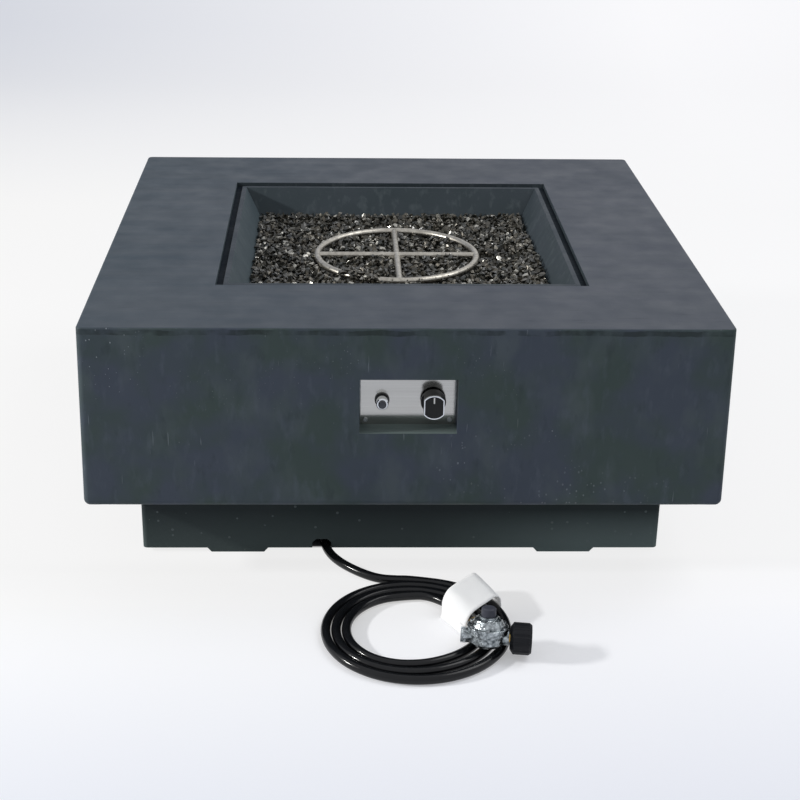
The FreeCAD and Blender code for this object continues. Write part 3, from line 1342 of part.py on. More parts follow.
cover = turned("regulator_cover", [
    ("0", "0"),
    ("housing_width / 2", "0"),
    ("housing_width / 2", "housing_flange - 1"),
    ("housing_width / 2 - 1", "housing_flange"),
    ("cover_crown", "housing_flange"),
    ("cover_crown - 6", "cover_high"),
    ("cap_width / 2 + 3", "cover_high + 2"),
    ("cap_width / 2 + 3", "cover_high + 5"),
    ("0", "cover_high + 5"),
], regulator_at, regulator_turn)
pocket(cover, "XY", "housing_flange + 1", lambda s: screw_circle(s, "housing_screw_shank / 2 + fit_gap"),
       "housing_flange + 2")
pocket(cover, "XY", "cover_high + 6", lambda s: screw_circle(s, "housing_screw_head / 2 + fit_gap"),
       "cover_high + 6 - housing_flange")
keep(cover, "regulator_cover")
keep(turned("regulator_cap", [
    ("0", "cover_high + 5"),
    ("cap_width / 2", "cover_high + 5"),
    ("cap_width / 2", "cap_high - 2"),
    ("cap_width / 2 - 2", "cap_high"),
    ("0", "cap_high"),
], regulator_at, regulator_turn), "regulator_cap")


def regulator_point(x, y, z):
    """A point of the regulator's frame, as expressions in the table's frame."""
    rows = regulator_turn.toMatrix().A
    result = []
    for index, base in enumerate(regulator_at):
        a, b, c = rows[4 * index:4 * index + 3]
        result.append("%s + %.9f * (%s) + %.9f * (%s) + %.9f * (%s)" % (base, a, x, b, y, c, z))
    return tuple(result)


housing_screws = []
for number in range(int(measure("housing_screws"))):
    angle = 2 * math.pi * (number + 0.5) / measure("housing_screws")
    x = "%s * %.6f" % (flange_screw, math.cos(angle))
    y = "%s * %.6f" % (flange_screw, math.sin(angle))
    head = cylinder("housing_screw_head_%d" % number, "housing_screw_head / 2", "2.2",
                    regulator_point(x, y, "housing_flange"), regulator_turn)
    shank = cylinder("housing_screw_shank_%d" % number, "housing_screw_shank / 2", "2 * housing_flange",
                     regulator_point(x, y, "-housing_flange + 1"), regulator_turn)
    housing_screws.append(fuse("housing_screw_%d" % number, [head, shank]))
group("regulator_screws", housing_screws)
keep(hexagon("regulator_plug", "gauge_flats", "gauge_length",
             regulator_point("-outlet_reach", "0", outlet_low), regulator_turn * LEFT), "regulator_plug")

outlet_at = regulator_point("0", "0", outlet_low)
outlet_turn = regulator_turn * RIGHT
nut_foot = "(outlet_reach + nut_gap)"
head_foot = "(%s + nut_back + run_gap)" % nut_foot
neck = "(nipple_width / 2 - 1)"
keep(turned("tank_nipple", [
    ("gas_bore / 2", "outlet_reach - nipple_bite"),
    ("nipple_width / 2", "outlet_reach - nipple_bite"),
    ("nipple_width / 2", "outlet_reach"),
    (neck, "outlet_reach"),
    (neck, head_foot),
    ("nipple_head / 2", head_foot),
    ("nipple_head / 2", head_foot + " + 7"),
    ("nipple_width / 2 + 1", head_foot + " + 9"),
    ("nipple_width / 2 - 2", head_foot + " + 21"),
    ("gas_bore / 2", head_foot + " + 21"),
], outlet_at, outlet_turn), "tank_nipple")
nut_body = turned("coupling_nut", [
    (neck + " + run_gap", nut_foot),
    ("nut_width / 2 - 7", nut_foot),
    ("nut_width / 2", nut_foot + " + 5"),
    ("nut_width / 2", nut_foot + " + nut_length - 4"),
    ("nut_width / 2 - 3", nut_foot + " + nut_length"),
    ("nut_bore / 2", nut_foot + " + nut_length"),
    ("nut_bore / 2", nut_foot + " + nut_back"),
    (neck + " + run_gap", nut_foot + " + nut_back"),
], outlet_at, outlet_turn)
flute = pocket(nut_body, "XY", nut_foot, lambda s: circle(s, "nut_width / 2 + 2.6", "0", "4"), "nut_length",
               flip=True)
flutes = nut_body.newObject("PartDesign::PolarPattern", "nut_flutes")
flutes.Originals = [flute]
flutes.Axis = ([item for item in nut_body.Origin.OriginFeatures if item.Role == "Z_Axis"][0], [""])
tie(flutes, Occurrences="nut_grips")
nut_body.Tip = flutes
keep(nut_body, "coupling_nut")

inlet_world = regulator_turn * inlet_turn
inlet_way = inlet_world.multVec(Vector(0, 0, 1))
port = Vector(*[measure(text) for text in outlet_at]) + inlet_way * measure("inlet_reach")
crimp = []
for label, radius in (("end_ferrule_out", "ferrule_width / 2"), ("end_ferrule_in", hose_hole)):
    item = cylinder(label, radius, "ferrule_length", ORIGIN, inlet_world)
    for index, axis in enumerate("xyz"):
        way = "%.9f * inlet_reach" % inlet_way[index]
        item.setExpression("Placement.Base." + axis, bound("%s + %s" % (outlet_at[index], way)))
    crimp.append(item)
keep(cut("end_ferrule", *crimp), "end_ferrule")

# The loose hose: out of the notch, along the ground and into the coil.


def coil_point(angle):
    """Place and direction on the flat spiral, for an angle in degrees from its start, turning right."""
    shrink = measure("coil_pitch") / 360
    radius = measure("coil_outside") - shrink * angle
    where = math.radians(measure("coil_start") - angle)
    spot = Vector(measure("coil_x") + radius * math.cos(where), measure("coil_y") + radius * math.sin(where),
                  hose_radius)
    outward = Vector(math.cos(where), math.sin(where), 0)
    way = Vector(math.sin(where), -math.cos(where), 0) * radius - outward * math.degrees(shrink)
    return spot, way.normalize()


def arc(start, way, end):
    """The arc from a point, in a direction, to another point, and its radius."""
    chord = end - start
    side = chord - way * chord.dot(way)
    if side.Length < 1e-6:
        return Part.LineSegment(start, end).toShape(), 1e9
    side.normalize()
    radius = chord.Length ** 2 / (2 * chord.dot(side))
    centre = start + side * radius
    half = (start + end) / 2 - centre
    return Part.Arc(start, centre + half.normalize() * radius, end).toShape(), radius


def biarc(start, way, end, final):
    """Two arcs that leave one point and reach the other in the given directions."""
    gap = end - start
    both = way + final
    spare = 2 * (1 - way.dot(final))
    lead = gap.dot(both)
    if spare < 1e-9:
        reach = gap.dot(gap) / (4 * gap.dot(final))
    else:
        reach = (math.sqrt(lead ** 2 + spare * gap.dot(gap)) - lead) / spare
    joint = (start + way * reach + end - final * reach) / 2
    middle = (end - final * reach) - (start + way * reach)
    middle.normalize()
    first, radius = arc(start, way, joint)
    second, other = arc(joint, middle, end)
    return [first, second], min(radius, other)


start, way = coil_point(0)
tail = start - way * measure("hose_width")
coil_entry = tuple(tail)
tube("supply_hose_lead", [gate, along_gate(28)] + way_points(gate, coil_entry, [
    (0.137, 0.525, 0),
    (0.325, 0.771, 0),
    (0.578, 0.9265, 0),
    (0.835, 0.977, 0),
]) + [coil_entry], measure("hose_width"))

sweep = measure("coil_start - coil_end + 360 * coil_turns")
quarters = math.ceil(sweep / 90)
edges = [Part.LineSegment(tail, start).toShape()]
radii = []
spot = start
for quarter in range(1, quarters + 1):
    end, final = coil_point(sweep * quarter / quarters)
    pair, radius = biarc(spot, way, end, final)
    edges += pair
    radii.append(radius)
    spot, way = end, final
entry = port + inlet_way * measure("ferrule_length + hose_width")
pair, radius = biarc(spot, way, entry, inlet_way * -1)
edges += pair
radii.append(radius)
edges.append(Part.LineSegment(entry, port).toShape())
path = Part.Wire(edges)
ring = Part.Wire(Part.makeCircle(hose_radius, tail, (start - tail).normalize()))
coil = path.makePipeShell([ring], True, False)
marks = path.discretize(Distance=4)
least = min((a - b).Length for i, a in enumerate(marks) for b in marks[i + 24:]) - measure("hose_width")
print("supply_hose_coil: length %.0f, least radius %.1f, gap to itself %.2f, volume share %.5f" % (
    path.Length, min(radii), least, coil.Volume / (math.pi * hose_radius ** 2 * path.Length)))
item = doc.addObject("Part::Feature", "supply_hose_coil")
item.Shape = coil
keep(item, "supply_hose_coil")

# A white foam sheet is folded over the coil like a low tunnel.


def tunnel(inset):
    """The outline of the wrap, inset from its outside, as points and arcs across it."""
    half = measure("wrap_width / 2") - inset
    high = measure("wrap_height") - inset
    bend = measure("wrap_corner") - inset
    slope = bend * (1 - math.sqrt(0.5))
    return half, high, bend, slope


def tunnel_face():
    slant = math.radians(measure("wrap_slant"))
    across = Vector(math.cos(slant), math.sin(slant), 0)
    foot = Vector(measure("wrap_foot_x"), measure("wrap_foot_y"), 0)
    middle = foot + across * measure("wrap_width / 2")

    def at(side, height):
        return middle + across * side + Vector(0, 0, height)

    edges = []
    rows = []
    for inset in (0, measure("wrap_sheet")):
        half, high, bend, slope = tunnel(inset)
        left = [at(-half, 0), at(-half, high - bend), at(-half + slope, high - slope), at(-half + bend, high)]
        right = [at(half - bend, high), at(half - slope, high - slope), at(half, high - bend), at(half, 0)]
        rows.append((left, right))
    for left, right in rows:
        edges += [
            Part.LineSegment(left[0], left[1]).toShape(),
            Part.Arc(*left[1:]).toShape(),
            Part.LineSegment(left[3], right[0]).toShape(),
            Part.Arc(*right[:3]).toShape(),
            Part.LineSegment(right[2], right[3]).toShape(),
        ]
    edges.append(Part.LineSegment(rows[0][0][0], rows[1][0][0]).toShape())
    edges.append(Part.LineSegment(rows[0][1][3], rows[1][1][3]).toShape())
    return Part.Face(Part.Wire(Part.__sortEdges__(edges)))


item = doc.addObject("Part::Feature", "hose_wrap")
heading = math.radians(measure("wrap_heading"))
item.Shape = tunnel_face().extrude(Vector(math.cos(heading), math.sin(heading), 0) * measure("wrap_length"))
keep(item, "hose_wrap")

# Checks, then one file for each piece.

doc.recompute()
faults = [item.Name for item in doc.Objects if {"Invalid", "Error"} & set(item.State)]
for item in parts:
    if item.Shape.isNull() or not item.Shape.isValid():
        faults.append(item.Label)
if faults:
    raise SystemExit("failed: " + ", ".join(faults))
os.makedirs("parts", exist_ok=True)
for item in parts:
    item.Shape.exportStep("parts/%s.step" % item.Label)
whole = Part.makeCompound([item.Shape for item in parts]).BoundBox
print("%d pieces, %.1f x %.1f x %.1f mm" % (len(parts), whole.XLength, whole.YLength, whole.ZLength))
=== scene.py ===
# %% [markdown]
# # A low gas fire table
# The object is a square block of cast concrete on a recessed plinth. A bowl in its top holds black fire
# glass and a steel ring burner, its front holds a small control panel, and a gas hose lies coiled before it.
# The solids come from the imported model. This lesson gives them their finishes, and replaces the few that
# a solid can't show well: the loose glass, the hose and the foam wrap round it.

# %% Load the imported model
import math
import random

import bmesh
import bpy
from mathutils import Matrix, Vector, noise


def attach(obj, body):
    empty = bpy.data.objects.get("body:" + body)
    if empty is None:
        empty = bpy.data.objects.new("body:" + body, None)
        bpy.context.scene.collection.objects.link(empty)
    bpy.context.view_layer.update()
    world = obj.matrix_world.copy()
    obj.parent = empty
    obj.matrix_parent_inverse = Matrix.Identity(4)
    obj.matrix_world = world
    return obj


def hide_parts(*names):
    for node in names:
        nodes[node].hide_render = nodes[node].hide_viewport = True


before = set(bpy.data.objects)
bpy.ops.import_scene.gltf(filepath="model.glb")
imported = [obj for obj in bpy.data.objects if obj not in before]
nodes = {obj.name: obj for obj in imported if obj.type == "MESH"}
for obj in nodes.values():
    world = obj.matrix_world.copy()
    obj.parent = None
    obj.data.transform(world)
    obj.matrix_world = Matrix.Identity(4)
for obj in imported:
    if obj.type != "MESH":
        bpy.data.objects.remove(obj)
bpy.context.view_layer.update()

# %% [markdown]
# ## Camera
# The photograph was taken with a long lens from a good two and a half metres, a little above the table.
# A camera needs three directions: to its right, up, and away from the view. The right and up directions
# come from the angle to each side and the slope, and a small roll turns them about the line of sight.
# The shift moves the frame, as a crop of a wider picture would, so that straight lines stay straight.

# %% Camera
camera_data = bpy.data.cameras.new("camera")
camera = bpy.data.objects.new("camera", camera_data)
bpy.context.scene.collection.objects.link(camera)
bpy.context.scene.camera = camera
side, slope, roll = math.radians(1.447), math.radians(23.5), math.radians(0.682)
ahead = Vector((math.sin(side) * math.cos(slope), math.cos(side) * math.cos(slope), -math.sin(slope)))
level = Vector((math.cos(side), -math.sin(side), 0))
above = level.cross(ahead)
right = math.cos(roll) * level + math.sin(roll) * above
up = -math.sin(roll) * level + math.cos(roll) * above
turn = Matrix((right, up, -ahead)).transposed()
camera.matrix_world = Matrix.Translation((-0.112, -2.7198, 1.2791)) @ turn.to_4x4()
camera_data.lens = 69.65
camera_data.shift_x = 0.0369
camera_data.shift_y = -0.004
camera_data.clip_end = 60
print("camera slope:", round(math.degrees(slope), 1))

# %% [markdown]
# ## Gas hose
# The hose is one smooth line: out of the notch in the plinth, along the ground, three times round in a loose
# flat coil, and up into the regulator. A spline whose control points are the route's corners gives such a
# line, while joined straight pieces would look like bent wire. The turns are control points too. Such a
# spline runs a little inside its points, so each turn's points lie on a slightly larger circle. The turns lie
# close together at the back and on the left, and fan out a little where the regulator lies on them. A curve's
# own box is measured with the radius of its points, so each point holds the tube's radius and the bevel is
# one metre times that.

# %% Hose route
HOSE = 0.015
GROUND = HOSE / 2
LEAD = [
    (-0.128, -0.4178),
    (-0.12314, -0.44537),
    (-0.1040, -0.4810),
    (-0.0740, -0.5130),
    (-0.0420, -0.5355),
    (-0.0124, -0.5400),
    (0.01048, -0.53998),
]
COIL_MIDDLE = (0.010, -0.688)
COIL_RADIUS = 0.147
COIL_PITCH = 0.016
TURN_POINTS = 16
COIL_START = 84
COIL_SWEEP = 1069
END = [
    (0.00133, -0.58889, GROUND),
    (0.03904, -0.58656, GROUND),
    (0.08785, -0.64402, 0.01278),
    (0.09782, -0.67988, 0.01932),
    (0.10757, -0.71499, 0.02572),
]
FAN = 0.006
FAN_MIDDLE = math.radians(-55)
route = [Vector((x, y, GROUND)) for x, y in LEAD]
spread = 1 / (0.75 + 0.25 * math.cos(2 * math.pi / TURN_POINTS))
steps = round(COIL_SWEEP / 360 * TURN_POINTS)
for step in range(1, steps):
    angle = COIL_SWEEP * step / steps
    way = math.radians(COIL_START - angle)
    loose = FAN * angle / 360 * max(0.0, math.cos(way - FAN_MIDDLE)) ** 2
    radius = (COIL_RADIUS - COIL_PITCH * angle / 360 - loose) * spread
    route.append(Vector((
        COIL_MIDDLE[0] + radius * math.cos(way), COIL_MIDDLE[1] + radius * math.sin(way), GROUND)))
route += [Vector(point) for point in END]
print("control points of the hose:", len(route))


# %% Hose spline
def spline_curve(name, points, radius):
    """A smooth round tube: a curve whose control points are the given ones."""
    data = bpy.data.curves.new(name, "CURVE")
    data.dimensions = "3D"
    data.bevel_depth = 1.0
    data.bevel_resolution = 6
    data.resolution_u = 8
    data.use_fill_caps = True
    line = data.splines.new("NURBS")
    line.points.add(len(points) - 1)
    for point, place in zip(line.points, points):
        point.co = (*place, 1)
        point.radius = radius
    line.order_u = 3
    line.use_endpoint_u = True
    item = bpy.data.objects.new(name, data)
    bpy.context.scene.collection.objects.link(item)
    return item


hose = spline_curve("gas_hose", route, HOSE / 2)
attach(hose, "table")
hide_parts("supply_hose_lead", "supply_hose_coil")

# %% [markdown]
# Inside the table the same hose climbs from the notch to the back of the valve. The block hides that run,
# but the table is open below, so it is a smooth line as well.

# %% Hidden run of the hose
INSIDE = [
    (0.044, -0.372, 0.298),
    (0.044, -0.31807, 0.298),
    (0.03798, -0.262, 0.27389),
    (0.02198, -0.22195, 0.22392),
    (-0.00192, -0.20005, 0.16205),
    (-0.03392, -0.194, 0.09785),
    (-0.07004, -0.20593, 0.0441),
    (-0.10598, -0.24598, 0.01186),
    (-0.13316, -0.304, GROUND),
    (-0.13738, -0.36462, GROUND),
    (-0.128, -0.4178, GROUND),
]
hidden_hose = spline_curve("hidden_hose", [Vector(point) for point in INSIDE], HOSE / 2)
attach(hidden_hose, "table")
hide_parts("hose_inside")

# %% [markdown]
# ## Studio
# The picture has a bright floor that runs into an equally bright backdrop. A curved sheet does both: flat
# below the object, then bending up behind it. The light is soft and comes mostly from the left and above,
# so the top is the brightest side of the block, and the coil's shadow falls to the right.
# The world's colour depends on the ray: the camera and reflections see a pale room, and the light that
# it sheds on the object is weaker, because most of the light comes from the lamps. The floor glows a
# little in the same way, so that it stays white in the table's shade, but not under the table itself.


# %% Node helpers
def add_node(tree, kind, **values):
    """Adds a node, and sets its properties or its inputs by name."""
    node = tree.nodes.new(kind)
    for name, value in values.items():
        if hasattr(node, name):
            setattr(node, name, value)
        else:
            node.inputs[name.replace("_", " ").title()].default_value = value
    return node


def maths(tree, operation, first, second, clamp=False):
    """One sum of two sockets or numbers."""
    node = tree.nodes.new("ShaderNodeMath")
    node.operation = operation
    node.use_clamp = clamp
    for socket, value in zip(node.inputs, (first, second)):
        if isinstance(value, (int, float)):
            socket.default_value = value
        else:
            tree.links.new(value, socket)
    return node.outputs[0]


def blend_colours(tree, factor, first, second, way="MIX"):
    """Two colours mixed by a factor. Each is a socket or a plain colour."""
    node = tree.nodes.new("ShaderNodeMix")
    node.data_type = "RGBA"
    node.blend_type = way
    for socket, value in zip((node.inputs[0], node.inputs[6], node.inputs[7]), (factor, first, second)):
        if hasattr(value, "is_output"):
            tree.links.new(value, socket)
        elif isinstance(value, (int, float)):
            socket.default_value = value
        else:
            socket.default_value = (*value, 1)
    return node.outputs[2]


def ramp(tree, value, start, stop, low=0.0, high=1.0):
    """A number that goes from low to high while the value goes from start to stop, and stays there."""
    node = add_node(tree, "ShaderNodeMapRange", from_min=start, from_max=stop, to_min=low, to_max=high)
    tree.links.new(value, node.inputs["Value"])
    return node.outputs[0]


def between(tree, factor, low, high):
    """A number that goes from low to high as the factor goes from 0 to 1."""
    return ramp(tree, factor, 0.0, 1.0, low, high)


def coordinates(tree, kind, output):
    """The x, y and z of a vector that a node of this kind gives."""
    source = tree.nodes.new(kind)
    parts = tree.nodes.new("ShaderNodeSeparateXYZ")
    tree.links.new(source.outputs[output], parts.inputs[0])
    return parts.outputs


def square_reach(tree, place):
    """How far a spot is from the middle of the table, along x or y, whichever is more."""
    return maths(tree, "MAXIMUM", *(maths(tree, "ABSOLUTE", place[side], 0) for side in (0, 1)))


# %% Studio floor, world and lamps
def studio_sheet():
    """A floor that bends up into a wall behind the object."""
    profile = [(-9.0, 0.0)]
    for step in range(13):
        angle = math.pi / 2 * step / 12
        profile.append((3.2 + 1.6 * math.sin(angle), 1.6 - 1.6 * math.cos(angle)))
    profile.append((4.8, 9.0))
    corners = [(x, y, z) for y, z in profile for x in (-11, 11)]
    faces = [(2 * i, 2 * i + 1, 2 * i + 3, 2 * i + 2) for i in range(len(profile) - 1)]
    data = bpy.data.meshes.new("studio_sheet")
    data.from_pydata(corners, [], faces)
    data.shade_smooth()
    item = bpy.data.objects.new("studio_sheet", data)
    bpy.context.scene.collection.objects.link(item)
    return item


bpy.context.scene.view_settings.view_transform = "Standard"
floor = studio_sheet()
paper = bpy.data.materials.new("studio_paper")
paper.use_nodes = True
tree = paper.node_tree
paper_shader = tree.nodes["Principled BSDF"]
paper_shader.inputs["Roughness"].default_value = 0.9
paper_shader.inputs["Specular IOR Level"].default_value = 0.1


def seen_rays(tree):
    """One for rays of the camera, of reflections and through glass, and none for light that is only shed."""
    rays = tree.nodes.new("ShaderNodeLightPath")
    direct = maths(tree, "MAXIMUM", rays.outputs["Is Camera Ray"], rays.outputs["Is Glossy Ray"])
    return maths(tree, "MAXIMUM", direct, rays.outputs["Is Transmission Ray"])


place = coordinates(tree, "ShaderNodeNewGeometry", "Position")
TABLE_REACH = (0.413, 0.42)
by_coil = ramp(tree, place[1], -0.45, -0.65)
in_front = ramp(tree, place[1], -0.6, -1.15)
behind = ramp(tree, place[1], 1.6, 3.8)
rightward = ramp(tree, place[0], -1.6, 1.4)
# Painted light: near the table the paper is dark and its glow strong, so the table's cast shadow hardly
# shows, while round the coil the paper is light, so the coil's shadow stays. The glow is graded from left to
# right and is weaker in front, a painted light and shade, and under the table there is none.
paper_tone = blend_colours(tree, by_coil, (0.15, 0.152, 0.16), (0.72, 0.73, 0.765))
paper_tone = blend_colours(tree, behind, paper_tone, (0.35, 0.355, 0.37))
tree.links.new(paper_tone, paper_shader.inputs["Base Color"])
coil_tone = blend_colours(tree, rightward, (0.345, 0.335, 0.285), (0.395, 0.39, 0.405))
table_shade_glow = blend_colours(tree, rightward, (0.80, 0.795, 0.785), (0.83, 0.83, 0.835))
front_tone = blend_colours(tree, rightward, (0.165, 0.18, 0.215), (0.245, 0.255, 0.30))
wall_tone = blend_colours(tree, ramp(tree, place[0], -2.2, 1.2), (0.40, 0.42, 0.475), (0.77, 0.765, 0.775))
glow_tone = blend_colours(tree, by_coil, table_shade_glow, coil_tone)
glow_tone = blend_colours(tree, in_front, glow_tone, front_tone)
glow_tone = blend_colours(tree, behind, glow_tone, wall_tone)
open_floor = ramp(tree, square_reach(tree, place), *TABLE_REACH)
glow_tone = blend_colours(tree, open_floor, (0.0, 0.0, 0.0), glow_tone)
glow = tree.nodes.new("ShaderNodeEmission")
tree.links.new(glow_tone, glow.inputs["Color"])
tree.links.new(seen_rays(tree), glow.inputs["Strength"])
both = tree.nodes.new("ShaderNodeAddShader")
tree.links.new(paper_shader.outputs[0], both.inputs[0])
tree.links.new(glow.outputs[0], both.inputs[1])
tree.links.new(both.outputs[0], tree.nodes["Material Output"].inputs[0])
floor.data.materials.append(paper)

world = bpy.data.worlds.new("room")
bpy.context.scene.world = world
world.use_nodes = True
room = world.node_tree
room.nodes.clear()
pale = room.nodes.new("ShaderNodeBackground")
pale.inputs[0].default_value = (0.86, 0.87, 0.90, 1)
pale.inputs[1].default_value = 0.9
soft = room.nodes.new("ShaderNodeBackground")
soft.inputs[0].default_value = (0.93, 0.96, 1.0, 1)
soft.inputs[1].default_value = 0.42
pick = room.nodes.new("ShaderNodeMixShader")
room.links.new(seen_rays(room), pick.inputs[0])
room.links.new(soft.outputs[0], pick.inputs[1])
room.links.new(pale.outputs[0], pick.inputs[2])
room_out = room.nodes.new("ShaderNodeOutputWorld")
room.links.new(pick.outputs[0], room_out.inputs[0])


def lamp(name, place, target, size, power, colour=(1, 1, 1)):
    """A square soft lamp that looks at a point."""
    data = bpy.data.lights.new(name, "AREA")
    data.shape = "RECTANGLE"
    data.size, data.size_y = size
    data.energy = power
    data.color = colour
    item = bpy.data.objects.new(name, data)
    item.location = place
    item.rotation_euler = (Vector(target) - Vector(place)).to_track_quat("-Z", "Y").to_euler()
    bpy.context.scene.collection.objects.link(item)
    return item


lamp("key_lamp", (-4.3, -0.92, 2.06), (0.1, -0.7, 0.0), (0.6, 0.24), 150, (1.0, 0.985, 0.955))
lamp("top_lamp", (1.9, 0.1, 2.9), (0, 0, 0.3), (2.0, 2.0), 34)
print("studio ready")

# %% [markdown]
# ## Finishes
# Most finishes share a few effects: a soft grain that may be stretched along one side, and small round
# specks. Each effect is a node group with its own inputs, built once and then placed in every finish with
# its own values. Painting pictures for each surface would work too, but a group keeps its sharpness close
# up and needs no unwrapping. The coordinates are the object's own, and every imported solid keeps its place
# in the mesh, so they are true metres on the object.


# %% Effect groups
def new_group(name, inputs, outputs):
    """An empty node group with number inputs and their usual values, and number outputs."""
    tree = bpy.data.node_groups.new(name, "ShaderNodeTree")
    for title, value in inputs.items():
        socket = tree.interface.new_socket(title, in_out="INPUT", socket_type="NodeSocketFloat")
        socket.default_value = value
    for title in outputs:
        tree.interface.new_socket(title, in_out="OUTPUT", socket_type="NodeSocketFloat")
    return tree, tree.nodes.new("NodeGroupInput"), tree.nodes.new("NodeGroupOutput")


def grain_group():
    """Soft noise whose marks have a size along x, y and z, cut to a mask between two levels."""
    usual = {"Size " + side: 0.01 for side in "XYZ"}
    usual.update({"Low": 0.4, "High": 0.6, "Offset": 0.0, "Detail": 3.0})
    tree, given, out = new_group("grain", usual, ["Mask", "Level"])
    place = coordinates(tree, "ShaderNodeTexCoord", "Object")
    joined = tree.nodes.new("ShaderNodeCombineXYZ")
    for number, side in enumerate("XYZ"):
        steps_out = maths(tree, "DIVIDE", place[number], given.outputs["Size " + side])
        tree.links.new(maths(tree, "ADD", steps_out, given.outputs["Offset"]), joined.inputs[number])
    cloud = add_node(tree, "ShaderNodeTexNoise", scale=1.0)
    tree.links.new(given.outputs["Detail"], cloud.inputs["Detail"])
    tree.links.new(joined.outputs[0], cloud.inputs["Vector"])
    level = tree.nodes.new("ShaderNodeMapRange")
    tree.links.new(cloud.outputs[0], level.inputs["Value"])
    tree.links.new(given.outputs["Low"], level.inputs["From Min"])
    tree.links.new(given.outputs["High"], level.inputs["From Max"])
    tree.links.new(level.outputs[0], out.inputs["Mask"])
    tree.links.new(cloud.outputs[0], out.inputs["Level"])
    return tree


def specks_group():
    """Small round spots. Share is the part of the cells that hold one."""
    usual = {"Spacing": 0.01, "Spot": 0.2, "Share": 0.5, "Stretch Z": 1.0}
    tree, given, out = new_group("specks", usual, ["Mask"])
    place = coordinates(tree, "ShaderNodeTexCoord", "Object")
    joined = tree.nodes.new("ShaderNodeCombineXYZ")
    for number in range(3):
        scaled = maths(tree, "DIVIDE", place[number], given.outputs["Spacing"])
        if number == 2:
            scaled = maths(tree, "DIVIDE", scaled, given.outputs["Stretch Z"])
        tree.links.new(scaled, joined.inputs[number])
    cells = add_node(tree, "ShaderNodeTexVoronoi", scale=1.0)
    tree.links.new(joined.outputs[0], cells.inputs["Vector"])
    tint = tree.nodes.new("ShaderNodeSeparateColor")
    tree.links.new(cells.outputs["Color"], tint.inputs[0])
    size = maths(tree, "MULTIPLY", tint.outputs[1], given.outputs["Spot"])
    near = maths(tree, "LESS_THAN", cells.outputs["Distance"], size)
    picked = maths(tree, "LESS_THAN", tint.outputs[0], given.outputs["Share"])
    tree.links.new(maths(tree, "MULTIPLY", near, picked), out.inputs["Mask"])
    return tree


grain_tree, specks_tree = grain_group(), specks_group()
print("effect groups:", grain_tree.name, specks_tree.name)

# %% [markdown]
# A finish is one Principled shader. What is the same all over the surface is set on the shader's own
# sockets, and only what changes over the surface is linked to it. Colours are written as they look on a
# screen, from 0 to 255, and turned into the even scale that shaders count in.


# %% Finish helpers
def shade(red, green, blue):
    """A screen colour from 0 to 255, as the shader counts it."""
    parts = (red / 255, green / 255, blue / 255)
    return tuple(v / 12.92 if v < 0.04045 else ((v + 0.055) / 1.055) ** 2.4 for v in parts)


def new_finish(name, colour, roughness, metallic=0.0, **more):
    """A material with a plain Principled shader. Returns it with its node tree and that shader."""
    material = bpy.data.materials.new(name)
    material.use_nodes = True
    shader = material.node_tree.nodes["Principled BSDF"]
    shader.inputs["Base Color"].default_value = (*colour, 1)
    shader.inputs["Roughness"].default_value = roughness
    shader.inputs["Metallic"].default_value = metallic
    for title, value in more.items():
        shader.inputs[title.replace("_", " ")].default_value = value
    return material, material.node_tree, shader


def effect(tree, kind, output="Mask", **values):
    """Places an effect group, and gives one of its outputs."""
    node = tree.nodes.new("ShaderNodeGroup")
    node.node_tree = kind
    for title, value in values.items():
        node.inputs[title.replace("_", " ")].default_value = value
    return node.outputs[output]


def grain(tree, size, low=0.35, high=0.65, offset=0.0, detail=3.0, output="Mask"):
    """The grain effect, with one size or a size along each side, in metres."""
    sizes = (size, size, size) if isinstance(size, float) else size
    return effect(
        tree, grain_tree, output, Size_X=sizes[0], Size_Y=sizes[1], Size_Z=sizes[2],
        Low=low, High=high, Offset=offset, Detail=detail)


def tinted(tree, tone, mask, strength, colour):
    """The tone with a colour laid over it, where the mask is and as strongly as told."""
    return blend_colours(tree, between(tree, mask, 0.0, strength), tone, colour)


def bumps(tree, shader, height, depth):
    """Tilts the shader's normal by a height mask that stands for a depth in metres."""
    node = add_node(tree, "ShaderNodeBump", distance=depth, strength=1.0)
    tree.links.new(height, node.inputs["Height"])
    tree.links.new(node.outputs[0], shader.inputs["Normal"])


def dress(material, *names):
    """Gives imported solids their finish."""
    for name in names:
        for place in nodes[name].material_slots:
            place.material = material
    print(material.name, "on", ", ".join(names))


# %% [markdown]
# ## Cast concrete
# The block is fibre concrete, cast in a mould and tinted dark slate grey. Its top was trowelled: it is
# smooth, catches the sky and has faint streaks from side to side. The sides come straight from the mould.
# They are mottled between blue and green greys, with soft smudges and stains, a few thin upright scratches,
# a ragged dark line just under the top edge, and tiny white pits, which crowd in the front's upper left
# corner. One material can do all of it, because the direction that a face looks in, and where it is, say
# which marks it gets.

# %% Cast concrete
BLOCK_TOP = 0.4308
LIP_BELOW, GROOVE_BELOW, SILL_BELOW = 0.4300, 0.4240, 0.3
BOWL_REACH = 0.31
EDGE_ROUND = 0.0035
LINE_WANDER, LINE_HALF = 0.008, 0.004
concrete, tree, shader = new_finish("cast_concrete", shade(84, 92, 99), 0.62, Specular_IOR_Level=0.22)
facing = coordinates(tree, "ShaderNodeNewGeometry", "Normal")
where = coordinates(tree, "ShaderNodeTexCoord", "Object")
lighter_to_right = ramp(tree, where[0], -0.5, 0.15, high=0.8)
